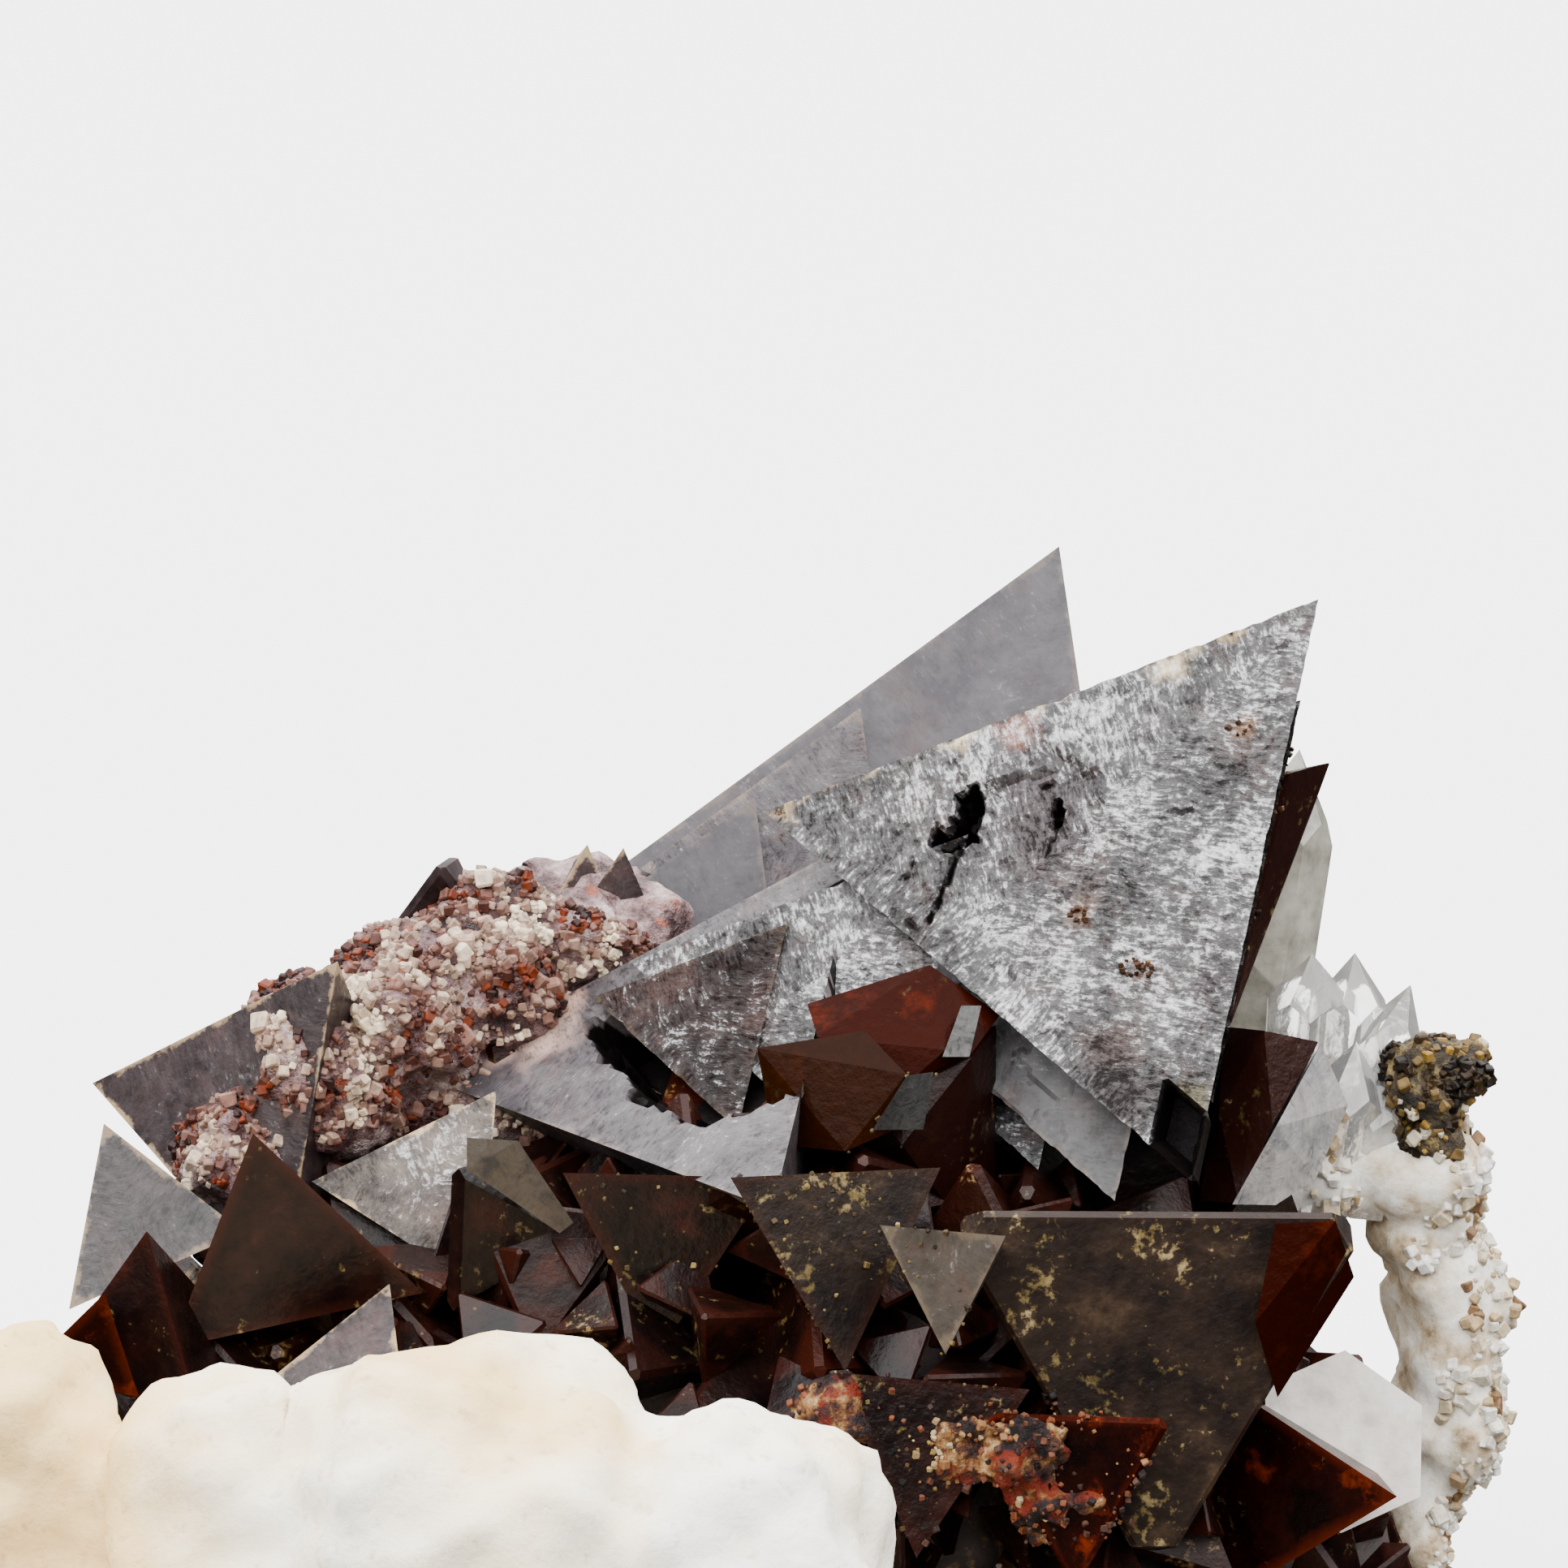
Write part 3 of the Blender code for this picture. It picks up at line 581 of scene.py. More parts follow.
def etched(name, greys, flakes, crusty, rough=0.36, keen=1.0, shine=0.2):
    """Etched helvine: a grey skin over brown crystal, with long hackly flakes that tilt each its own way. The
    lightest flakes are painted white as highlights, the gaps between them near black as shade, and pits and
    broken parts black as shade.

    Flakes says how many flakes are painted white as highlights, keen how strongly these highlights and the
    gap shade show, crusty how much of the edges is under cream crust, and shine how much of the light the
    skin mirrors. The gaps mirror little.
    """
    material, tree, spot = new_material(name)
    growth = add(tree, "UVMap", uv_map="growth")
    far, tone, hollow_shade, white, stain = (
        add(tree, "Attribute", attribute_name=part)
        for part in ("far", "tone", "hollow_shade", "white", "stain")
    )
    stray = add(tree, "TexNoise", {"Vector": spot, "Scale": 0.9, "Detail": 2.0})
    strayed = add(
        tree, "VectorMath", {0: stray.outputs["Color"], 1: (0.5, 0.5, 0.5), 2: growth},
        operation="MULTIPLY_ADD",
    )
    drawn = add(tree, "VectorMath", {0: strayed, 1: (9.0, 2.0, 1.0)}, operation="MULTIPLY")
    streak = add(tree, "TexNoise", {"Vector": drawn, "Scale": 1.0, "Detail": 4.0, "Roughness": 0.7})
    fleck = add(tree, "TexNoise", {"Vector": spot, "Scale": 4.6, "Detail": 4.0, "Roughness": 0.8})
    flake = add(tree, "TexVoronoi", {"Vector": drawn, "Scale": 0.8}, feature="F1")
    chip = add(tree, "TexVoronoi", {"Vector": spot, "Scale": 3.0}, feature="F1")
    pick_chip = add(tree, "SeparateColor", {0: chip.outputs["Color"]})
    zone = add(tree, "TexNoise", {"Vector": spot, "Scale": 0.36, "Detail": 4.0, "Roughness": 0.65})
    lean = streak
    for part, weight in ((fleck, 0.9), (pick_chip, 0.15), (zone, 0.75), (white.outputs["Fac"], 0.11)):
        lean = add(tree, "Math", {0: part, 1: weight, 2: lean}, operation="MULTIPLY_ADD")
    patch = add(tree, "TexNoise", {"Vector": spot, "Scale": 0.7, "Detail": 5.0, "Roughness": 0.7})
    skin = add(tree, "ValToRGB", {"Fac": patch}, [(0.38, greys[0]), (0.62, greys[1])])
    warmth = add(tree, "TexNoise", {"Vector": spot, "Scale": 0.42, "Detail": 5.0, "Roughness": 0.7})
    blush = add(tree, "MapRange", {"Value": warmth, "From Min": 0.52, "From Max": 0.68, "To Max": 0.5})
    # Painted shade: where lean is low the skin is mixed towards the near black gap colour.
    dark = add(tree, "MapRange", {"Value": lean, "From Min": 1.3, "From Max": 1.08, "To Max": 0.85 * keen})
    # Painted highlight: where lean is high the skin is mixed towards the white flake colour, the more so
    # where the white mark adds to it.
    flaked = 1.55 - flakes * 0.12
    light = add(
        tree, "MapRange",
        {"Value": lean, "From Min": flaked, "From Max": flaked + 0.3, "To Max": 0.85 * keen},
    )
    # Painted shade: pits and broken parts, as their mark says, are mixed towards the black pit colour.
    hollow_shade_part = add(tree, "MapRange", {"Value": hollow_shade.outputs["Fac"], "From Min": 0.47, "From Max": 0.55})
    near_edge = add(tree, "MapRange", {"Value": far.outputs["Fac"], "From Min": 0.75, "From Max": 0.0})
    rim = add(tree, "Math", {0: near_edge, 1: patch}, operation="MULTIPLY")
    crust_part = add(tree, "MapRange", {"Value": rim, "From Min": 0.42, "From Max": 0.52, "To Max": crusty})
    colour = skin
    for share, over in (
        (blush, BROWN_BLUSH), (stain.outputs["Alpha"], stain), (dark, GAP_SHADE), (light, FLAKE_HIGHLIGHT),
        (crust_part, RIM_CRUST), (hollow_shade_part, PIT_SHADE),
    ):
        colour = add(tree, "Mix", {"Factor": share, "A": colour, "B": over})
    toned = add(tree, "Mix", {"Factor": 1.0, "A": colour, "B": tone}, blend_type="MULTIPLY")
    lift = add(tree, "Bump", {"Height": lean, "Strength": 0.5 * keen, "Distance": 0.08 * MM})
    tilts = add(tree, "Mix", {"Factor": 0.5, "A": flake.outputs["Color"], "B": chip.outputs["Color"]})
    tilt = add(tree, "VectorMath", {0: tilts, 1: (0.5, 0.5, 0.5)}, operation="SUBTRACT")
    spread = FLAKE_SPREAD * keen
    tilted = add(
        tree, "VectorMath", {0: tilt, 1: (spread, spread, spread), 2: lift}, operation="MULTIPLY_ADD",
    )
    facet = add(tree, "VectorMath", {0: tilted}, operation="NORMALIZE")
    flashing = add(
        tree, "MapRange",
        {"Value": lean, "From Min": 1.1, "From Max": 1.7, "To Min": shine * (1 - 0.85 * keen),
         "To Max": shine * (1 + 0.8 * keen)},
    )
    mirrored = add(tree, "Mix", {"Factor": hollow_shade_part, "A": flashing, "B": 0.02}, data_type="FLOAT")
    shader = add(
        tree, "BsdfPrincipled",
        {"Base Color": toned, "Roughness": rough, "IOR": HELVINE_IOR, "Specular IOR Level": mirrored,
         "Normal": facet},
    )
    add(tree, "OutputMaterial", {"Surface": shader})
    return material


def pour(part, solid, tone=None):
    """Adds a part to the solid that it is grown together with, and its tone to each of its points."""
    mesh = bpy.data.meshes.new("part")
    part.to_mesh(mesh)
    part.free()
    if tone is not None:
        tones = mesh.attributes.new("tone", "FLOAT_COLOR", "POINT")
        tones.data.foreach_set("color", [tone, tone, tone, 1] * len(mesh.vertices))
    solid.from_mesh(mesh)
    bpy.data.meshes.remove(mesh)


def grow(name, crystals, finishes, step, skin=smooth_skin, home=(0, 0, 0), blocks=(), **etching):
    """Crystals as one piece, each told as (x, y, z, edge, facing, rise, spin, bevel, tip, tone, finish).

    Blocks are told as their corners, tone and finish. Step is how finely the faces are divided, in mm, and
    home is where the skin has its middle.
    """
    parts = []
    for x, y, z, edge, facing, rise, spin, bevel, tip, tone, finish in crystals:
        turn = face_turn(facing, rise, spin)
        shift = np.array(turn.transposed() @ (Vector((x, y, z)) - Vector(home)))
        one = crystal(edge, bevel, tip, max(4, round(edge / step)), skin, shift, **etching)
        parts.append((one, Matrix.Translation(placed(x, y, z)) @ turn.to_4x4(), tone, finish))
    for corners, tone, finish in blocks:
        parts.append((block(corners), Matrix.Translation(placed(0, 0, 0)), tone, finish))
    solid = bmesh.new()
    for one, stand, tone, finish in parts:
        bmesh.ops.transform(one, matrix=stand @ Matrix.Scale(MM, 4), verts=one.verts)
        for face in one.faces:
            face.material_index = finish
        bmesh.ops.recalc_face_normals(one, faces=one.faces)
        pour(one, solid, tone)
    thing = keep(solid, name)
    for finish in finishes:
        thing.data.materials.append(finish)
    belongs(thing, "helvine_cluster")
    return thing


def from_path(spot, path):
    """How far a point of a face is from a path on it, so that what is near the path has corners."""
    nearest = 99
    for (x0, y0), (x1, y1) in zip(path, path[1:]):
        x, y = x1 - x0, y1 - y0
        share = ((spot[0] - x0) * x + (spot[1] - y0) * y) / (x * x + y * y)
        share = min(1, max(0, share))
        across, up = abs(spot[0] - x0 - share * x), abs(spot[1] - y0 - share * y)
        nearest = min(nearest, max(across, up, (across + up) * 0.8))
    return nearest


# Marks on the large face, in mm in its plane from a point near its middle: pits and cracks, painted black as
# shade, as a path, its half-width and its depth; areas with more or fewer painted highlights, and stains, as
# a middle and a radius.
PITS = [
    ([(-3.6, 0.0), (-3.3, -0.4)], 0.2, 0.5),
    ([(-3.2, -0.5), (-2.8, -1.2)], 0.45, 1.0),
    ([(-2.7, -1.2), (-2.9, -1.8), (-3.3, -1.9)], 0.3, 0.8),
    ([(-2.6, -1.4), (-2.4, -2.0), (-2.1, -2.9), (-1.7, -4.0)], 0.11, 0.2),
    ([(-1.1, 1.3), (-0.8, 0.9)], 0.2, 0.5),
    ([(-0.7, 0.8), (-0.3, -0.2)], 0.1, 0.1),
    ([(-4.1, -2.7), (-3.9, -3.2)], 0.08, 0.1),
    ([(-3.4, -3.0), (-3.1, -3.6)], 0.09, 0.1),
    ([(-2.3, -4.5), (-1.7, -4.5)], 0.08, 0.15),
    ([(-1.9, 1.3), (-1.7, 1.6)], 0.1, 0.1),
]
SHARP = 0.4               # a pit's painted shade falls from 1 to 0 within this many mm either side of its rim
HIGHLIGHT_AREAS = [
    ((-0.5, -2.6), 2.0, 0.6), ((2.2, -3.6), 1.8, 0.4), ((-5.0, -2.0), 1.4, 0.3), ((-4.4, 0.9), 1.2, 1.0),
    ((-1.6, 3.6), 1.4, 0.8), ((1.0, 2.6), 1.5, 0.8), ((4.6, -1.8), 1.6, 0.1), ((-1.4, 0.6), 1.5, -1.2),
    ((6.3, -4.2), 1.5, -2.0), ((3.0, 0.6), 1.4, -0.2), ((0.3, 9.4), 1.8, -0.5), ((-7.2, -3.6), 1.6, -0.9),
    ((8.2, -2.9), 1.0, -1.2), ((3.4, 2.6), 1.6, 0.9), ((3.8, 4.6), 1.4, 0.6),
]
STAINS = [
    ((-8.2, -4.1), 0.7, "#a88a66"), ((-6.6, -0.7), 0.5, "#c9b28f"), ((-5.3, 1.1), 0.7, "#d9c49e"),
    ((-1.6, 7.0), 0.8, "#c9b691"), ((-3.9, 2.3), 0.8, "#7d564a"), ((1.75, 6.6), 0.4, "#6b4a30"),
    ((4.5, -1.1), 0.3, "#4a2a14"), ((4.0, -0.9), 0.22, "#4a2a14"), ((1.8, -0.9), 0.5, "#5b4030"),
    ((6.6, -4.3), 1.1, "#1f1312"), ((8.4, -2.9), 0.6, "#4d4630"), ((6.3, 0.1), 0.6, "#241a1e"),
    ((-1.2, 0.6), 1.9, "#33292c"), ((-2.4, -4.6), 0.7, "#171112"), ((5.3, -3.4), 0.9, "#2c1a14"),
    ((6.3, -0.2), 0.5, "#2a1d22"),
]
SUNK = ((-1.2, 0.6), 1.8, 0.18)    # middle, radius and depth of the sunken part beside the pit
LOST_CORNER = (4.76, -3.0)         # the crystal is broken away past both of these, at its right and below, and painted black as shade there
LOST_DEPTH = 1.3                   # how deep it is broken there
STEP_HEIGHT, RIDGE_HEIGHT = 0.09, 0.05
FADE = 0.4                         # the relief fades out this near to an edge
STAIN_COLOURS = [linear(code)[:3] for middle, radius, code in STAINS]
CREAM = linear("#b59c78")[:3]
CREAM_WIDTH = 0.4                  # the cream rim of the upper edge
LOWEST_CREAM = -4.3                # where it begins


def hackly(spot, far, side):
    """The etched face of the bright group: steps, ridges, pits painted black as shade, areas with more or
    fewer painted highlights, and stains.
    """
    place = Vector(spot)
    ragged = noise.noise(place * 1.9)
    jagged = noise.noise(place * 4.5)
    ridges = noise.noise(Vector((spot[0] * 2.2, spot[1] * 0.9, spot[2] * 2.2)))
    blocks = noise.cell(Vector((spot[0] * 1.1 + ragged * 0.5, spot[1] * 1.1 + ridges * 0.5, spot[2] * 1.1)))
    stepped = max(0, noise.noise(place * 0.3) + 0.4)
    depth = 0.05 + ridges * RIDGE_HEIGHT + (blocks - 0.5) * STEP_HEIGHT * stepped
    hollow_shade, white, stain = 0, 0, (0, 0, 0, 0)
    if side != OTHER_FACE:
        # Pits sink the face and are marked to be painted black as shade.
        for path, wide, deep in PITS:
            inside = wide * (1 + 0.9 * jagged) - from_path(spot, path)
            depth += min(1, max(0, inside / wide * 2)) * deep
            hollow_shade = max(hollow_shade, 0.5 + inside / SHARP / 2)
        (x, y), radius, deep = SUNK
        sunk = 1.2 - math.hypot(spot[0] - x, spot[1] - y) / radius + ragged * 0.5
        depth += min(1, max(0, sunk * 3)) * deep
        # The white mark adds painted highlight: more white flakes, or fewer where it is below 0.
        for (x, y), radius, amount in HIGHLIGHT_AREAS:
            white += amount * math.exp(-((spot[0] - x) ** 2 + (spot[1] - y) ** 2) / radius ** 2)
        most = 0
        for ((x, y), radius, code), colour in zip(STAINS, STAIN_COLOURS):
            share = 1.3 - math.hypot(spot[0] - x, spot[1] - y) / radius + ragged * 0.7
            if share > most:
                most = share
                stain = (*colour, min(0.85, share))
        rim = 0.1 - far / CREAM_WIDTH + noise.noise(place * 0.9) * 1.9
        if side == TOP and rim > most and spot[1] > LOWEST_CREAM:
            stain = (*CREAM, min(0.7, rim * 2))
    depth = max(0, depth) * min(1, far / FADE)
    # Painted shade: the lost corner is marked to be painted black.
    inside = min(spot[0] * SLANT + spot[1] / 2 - LOST_CORNER[0], LOST_CORNER[1] - spot[1])
    hollow_shade = max(hollow_shade, 0.5 + inside / SHARP / 2)
    if side != OTHER_FACE and inside > 0:
        depth = LOST_DEPTH
    return depth, max(0, min(1, hollow_shade)), white, stain


bright_etched = etched("etched_helvine_bright", ("#262425", "#413f40"), 1.0, 0.0, 0.36, 1.0, 0.25)
purple_etched = etched("etched_helvine_purplish", ("#0f0909", "#231716"), 0.0, 0.05, 0.36, 1.2, 0.1)
plain_etched = etched("etched_helvine_plain", ("#343233", "#464445"), -0.5, 0.1, 0.45, 0.3)
BRIGHT_GROUP = [
    (12.15, 3.62, 32.34, 18.28, *MAIN, 0, 0, 1.0, 0),
    (0.59, 4.91, 27.14, 6.6, *MAIN, 0, 0, 0.9, 1),
    (4.3, 4.3, 28.0, 11.3, *MAIN, 0, 0, 1.0, 0),
    (11.4, 2.9, 27.1, 9.5, *MAIN, 0, 0, 1.0, 2),
    (10.0, 3.7, 25.1, 4.5, *MAIN, 0, 0, 1.4, 0),
    (14.1, 1.7, 26.4, 5.0, *MAIN, 0, 0, 1.0, 2),
    (13.8, 4.4, 31.5, 12.8, *MAIN, 0, 0, 0.4, 1),
]
MAIN_FRONT = (11.2, 4.0, 32.4)
grow(
    "bright_group", BRIGHT_GROUP, (bright_etched, purple_etched, plain_etched), 0.18, hackly, MAIN_FRONT,
    sectors=(3.0, 0.7, 1), chips=0.12,
)


# Tall crystal behind and the wide crystal at the left. They are the same mineral with smoother, duller grey
# faces. The wide one has a ragged pit, painted black as shade, where the bright group grew over it.
smooth_etched = etched("etched_helvine_smooth", ("#38353a", "#4b474b"), -0.2, 0.1, 0.42, 0.2)
hackly_etched = etched("etched_helvine_hackly", ("#343033", "#4b4649"), -0.5, 0.1, 0.4, 0.75)
TRENCH = [(-3.3, -0.6), (-1.6, -1.4), (0.6, -2.2), (3.1, -2.3), (3.9, -1.8), (4.5, -0.7)]
TRENCH_HALF = 0.4         # half of its width
BROKEN_DEPTH = 2.2        # how deep the face is broken away above the trench
WIDE_FADE = 0.3           # its relief fades out this near to an edge
PEACH = [((-5.0, -1.6), 1.7, "#b89a8e"), ((-4.9, -0.3), 0.8, "#c09c8b"), ((-5.6, -2.8), 0.8, "#ab8d84")]
PEACH_COLOURS = [linear(code)[:3] for middle, radius, code in PEACH]


def trenched(spot, far, side):
    """The wide face: smooth at the left, hackly and whiter at the right, broken away above the trench; the
    trench and the broken part are painted black as shade.
    """
    place = Vector(spot)
    ragged = noise.noise(place * 1.7)
    depth = 0.03 + noise.noise(place * 1.1) * 0.02
    hollow_shade, white, stain = 0, 0, (0, 0, 0, 0)
    if side != OTHER_FACE:
        inside = TRENCH_HALF + ragged * TRENCH_HALF - from_path(spot, TRENCH)
        rim = np.interp(spot[0], *zip(*TRENCH))
        if spot[1] > rim and spot[0] > TRENCH[0][0] + (spot[1] - TRENCH[0][1]) * 0.5:
            inside = max(inside, min(spot[1] - rim, 1.5))
        # Painted shade: the trench and the broken part above it are marked to be painted black.
        hollow_shade = max(0, min(1, 0.5 + inside / SHARP / 2))
        depth += max(0, min(1, inside * 2)) * BROKEN_DEPTH
        # Painted highlight: above the middle the face has fewer painted highlights.
        white = 0 if spot[1] < 0 else -0.6
        for ((x, y), radius, code), colour in zip(PEACH, PEACH_COLOURS):
            share = 1.0 - math.hypot(spot[0] - x, spot[1] - y) / radius + ragged * 0.5
            if share > stain[3]:
                stain = (*colour, min(0.7, share))
    return depth * min(1, far / WIDE_FADE), hollow_shade, white, stain


TALL = [
    (7.8, 13.9, 30.3, 19.3, *BACK, 0, 0, 1.0, 0),
    (3.5, 12.9, 30.5, 9.0, *BACK, 0, 0, 1.3, 1),
    (0.3, 11.1, 28.4, 8.0, *BACK, 0, 0, 0.85, 0),
]
WIDE = [(-0.1, 3.9, 26.8, 15.7, -40, 56, 6, 0, 0, 1.1, 0)]
grow("tall_group", TALL, (smooth_etched, hackly_etched), 0.5)
grow("wide_crystal", WIDE, (hackly_etched,), 0.2, trenched, WIDE[0][:3])


# Dark crystals in front and at the right. Their glossy faces look away from the light, so they are near
# black, with painted glowing light of red and orange where they are thin, painted orange highlights in
# patches on the red and golden ones, and some grey etched facets.
# Painted highlight: the red and golden finishes have a bright orange lightest body colour that paints orange
# highlights in patches.
red_helvine = helvine("red_helvine", ("#0e0202", "#2a0804", "#a63a10"), ("#8a2f0c", 0.4), 0.1, 0.22, 0.015)
brown_helvine = helvine("brown_helvine", ("#0d0706", "#211711", "#3f3022"), ("#3a1d12", 0.3), 0.8, 0.4)
golden_helvine = helvine(
    "golden_brown_helvine", ("#0a0504", "#1a0b06", "#94480f"), ("#a85214", 0.5), 0.3, 0.3, 0.02,
)
grey_etched = etched("etched_helvine_grey", ("#241f1c", "#37322f"), -0.9, 0.1, 0.45, 0.4)
pale_etched = etched("etched_helvine_pale", ("#8a8888", "#b9b7b6"), 0.3, 0.1, 0.4, 0.7)
DARK = [
    (16.0, 8.3, 30.6, 9.5, 21, -5, 50, 0, 0, 0.6, 0),
    (14.4, 4.6, 23.8, 7.2, 12, 8, -52, 0, 0, 0.5, 0),
    (15.6, 4.4, 21.4, 6.2, -59, 26, 44, 0, 0, 0.9, 0),
    (13.7, -5.6, 20.4, 12.8, -1, 8, 60, 0.02, 0.12, 1.0, 2),
    (7.5, -7.2, 22.9, 4.1, -32, 5, -65, 0, 0, 0.8, 3),
    (16.0, -2.8, 14.8, 9.8, -34, 6, -39, 0, 0, 0.4, 1),
    (-0.5, -2.2, 22.4, 6.2, 9, 5, -56, 0, 0, 0.8, 0),
    (4.6, -4.1, 22.9, 6.6, 23, 16, -56, 0, 0, 0.8, 2),
    (7.1, -7.2, 17.9, 5.8, 16, 14, -50, 0, 0, 0.7, 0),
    (11.2, -7.6, 17.0, 6.0, -17, 11, -64, 0.04, 0.1, 0.35, 1),
    (-5.4, -1.2, 21.9, 5.5, 14, 0, -27, 0.1, 0, 0.6, 0),
]
RED_BLOCK = [
    (3.7, 2.4, 28.2), (7.4, 3.2, 29.2), (9.5, 2.6, 27.8), (8.6, 1.2, 27.0), (7.8, 0.8, 27.2),
    (4.0, 1.2, 27.5), (6.6, 0.5, 26.2), (5.5, 3.2, 26.5),
]
DARK_COLUMN = [
    (4.2, 1.5, 27.2), (8.6, 1.4, 26.8), (9.4, 2.8, 27.4), (6.6, 0.6, 26.0), (6.5, 0.0, 24.5),
    (9.4, 3.0, 21.6), (8.2, 1.5, 21.8), (3.8, 1.5, 24.0),
]
ORANGE_BLOCK = [
    (2.2, 1.0, 27.2), (5.4, 0.4, 27.9), (6.6, -0.8, 26.9), (6.2, -0.9, 25.2), (2.7, 0.4, 24.4),
    (5.0, 2.5, 27.2), (4.0, 2.5, 24.5), (4.8, -1.0, 24.6),
]
GREY_BLOCK = [(6.6, -1.3, 27.0), (7.4, -0.9, 27.0), (7.1, -1.1, 25.3), (5.6, -1.5, 25.4), (7.0, 0.5, 26.0)]
GREY_BEVEL = [(8.3, 1.8, 28.3), (8.9, 1.8, 28.3), (8.5, 0.4, 27.1), (7.7, 0.4, 27.1), (8.4, 2.5, 27.0)]
RIGHT_DARK = [
    (16.5, 5.0, 26.8), (17.5, 3.0, 27.2), (19.3, 4.3, 26.5), (17.7, 1.9, 24.6), (16.7, 1.6, 22.2),
    (15.7, 3.5, 21.7), (16.2, 3.0, 24.6), (18.0, 6.5, 24.0),
]
RIGHT_PALE = [
    (19.4, 4.4, 26.4), (20.3, 4.6, 24.4), (19.2, 3.4, 22.4), (17.9, 2.4, 21.9), (16.5, 1.5, 22.2),
    (17.8, 1.9, 24.5), (18.5, 6.5, 24.0),
]
SMALL_FACET = [(14.7, 2.4, 25.2), (15.4, 2.4, 24.7), (15.1, 1.8, 23.5), (14.4, 1.8, 24.1), (15.2, 3.5, 24.0)]
BACK_PLATE = [
    (18.6, 7.5, 34.2), (20.0, 9.0, 34.2), (19.4, 9.0, 32.4), (18.0, 8.5, 28.9), (17.0, 8.0, 26.1),
    (16.0, 8.5, 26.3), (16.5, 9.5, 33.0), (16.8, 7.0, 31.0),
]
BROWN_END = [
    (17.0, -5.9, 23.9), (18.7, -5.9, 24.0), (19.4, -4.9, 22.0), (17.2, -5.6, 18.6), (16.4, -6.6, 21.2),
    (18.0, -3.5, 22.0),
]
GREY_FACET = [
    (-6.3, -1.6, 25.2), (-4.8, -1.6, 25.1), (-3.2, -1.6, 22.6), (-3.6, -1.7, 22.3), (-6.3, -1.8, 24.3),
    (-4.5, -0.5, 23.5),
]
BLOCKS = [
    (RED_BLOCK, 0.16, 1), (DARK_COLUMN, 0.6, 0), (ORANGE_BLOCK, 0.07, 5), (GREY_BLOCK, 0.06, 4),
    (GREY_BEVEL, 0.06, 4), (RIGHT_DARK, 0.8, 0), (RIGHT_PALE, 0.7, 4), (SMALL_FACET, 1.1, 3),
    (BACK_PLATE, 0.8, 0), (BROWN_END, 0.14, 1), (GREY_FACET, 0.4, 3),
]
DARK_FINISHES = (dark_helvine, red_helvine, brown_helvine, grey_etched, pale_etched, golden_helvine)
dark_blocks = grow("dark_blocks", DARK, DARK_FINISHES, 0.5, blocks=BLOCKS)

# Mottled crust of broken crystals lies on the front faces, thickest low in the middle. Brown beads sit along
# the big crystal's edge and in rings on its face.
MOTTLED = ("#0d0606", "#1a0d0a", "#2a1a17", "#41291f", "#56301f", "#6b3a22", "#7a5434", "#8e7650", "#a99878")
HEAPS = [
    ((9.4, -7.2, 17.6), (2.3, 0.9, 1.3)), ((10.6, -7.2, 16.2), (1.6, 0.9, 1.6)),
    ((4.6, -6.6, 18.6), (1.1, 0.7, 0.7)),
]


def mineral_crust(name, patch, stops, rust, grit, humps, height, surface):
    """Crust of mixed minerals: patches of colour with rust spots over them, and a rough skin.

    Patch and grit are a noise's scale, detail and roughness. Rust is its scale, the noise where it begins,
    and its colour. Humps is how far the lighter patches stand out, as a share of the skin's height in mm.
    """
    material, tree, spot = new_material(name)
    patches, fine = (
        add(tree, "TexNoise", {"Vector": spot, "Scale": scale, "Detail": detail, "Roughness": rough})
        for scale, detail, rough in (patch, grit)
    )
    colours = add(tree, "ValToRGB", {"Fac": patches}, stops)
    scale, begins, code = rust
    spread = add(tree, "TexNoise", {"Vector": spot, "Scale": scale, "Detail": 3.0})
    rusty = add(
        tree, "MapRange", {"Value": spread, "From Min": begins, "From Max": begins + 0.06, "To Max": 0.9},
    )
    orange = add(tree, "Mix", {"Factor": rusty, "A": colours, "B": code})
    both = add(tree, "Math", {0: patches, 1: humps, 2: fine}, operation="MULTIPLY_ADD")
    lift = add(tree, "Bump", {"Height": both, "Strength": 1.0, "Distance": height * MM})
    shader = add(tree, "BsdfPrincipled", {"Base Color": orange, "Normal": lift, **surface})
    add(tree, "OutputMaterial", {"Surface": shader})
    return material


mottled_crust = mineral_crust(
    "mottled_mineral_crust", (0.9, 5.0, 0.65),
    [(0.4, "#0b0606"), (0.48, "#211417"), (0.53, "#4a2a17"), (0.58, "#7d5a34"), (0.66, "#a88f6c")],
    (0.7, 0.58, "#5e1604"), (3.0, 5.0, 0.7), 0.0, 0.25, {"Roughness": 0.4, "Specular IOR Level": 0.2},
)
heap = rock(HEAPS, "mottled_heap", 0.14, 0.45)
heap.data.materials.append(mottled_crust)


CRUST_REACH = 5.0         # how far the crust lies from its middle, mm


def low_in_front(spot, up):
    """Whether a point is on the part of the front faces that the crust covers, in patches."""
    near = 1 - math.hypot(spot.x - 9.0, (spot.z - 16.8) * 1.4) / CRUST_REACH
    return spot.y < -3 and up.y < 0.1 and near > 0 and noise.fractal(spot * 0.8, 0.8, 2.0, 3) + near > 0.35


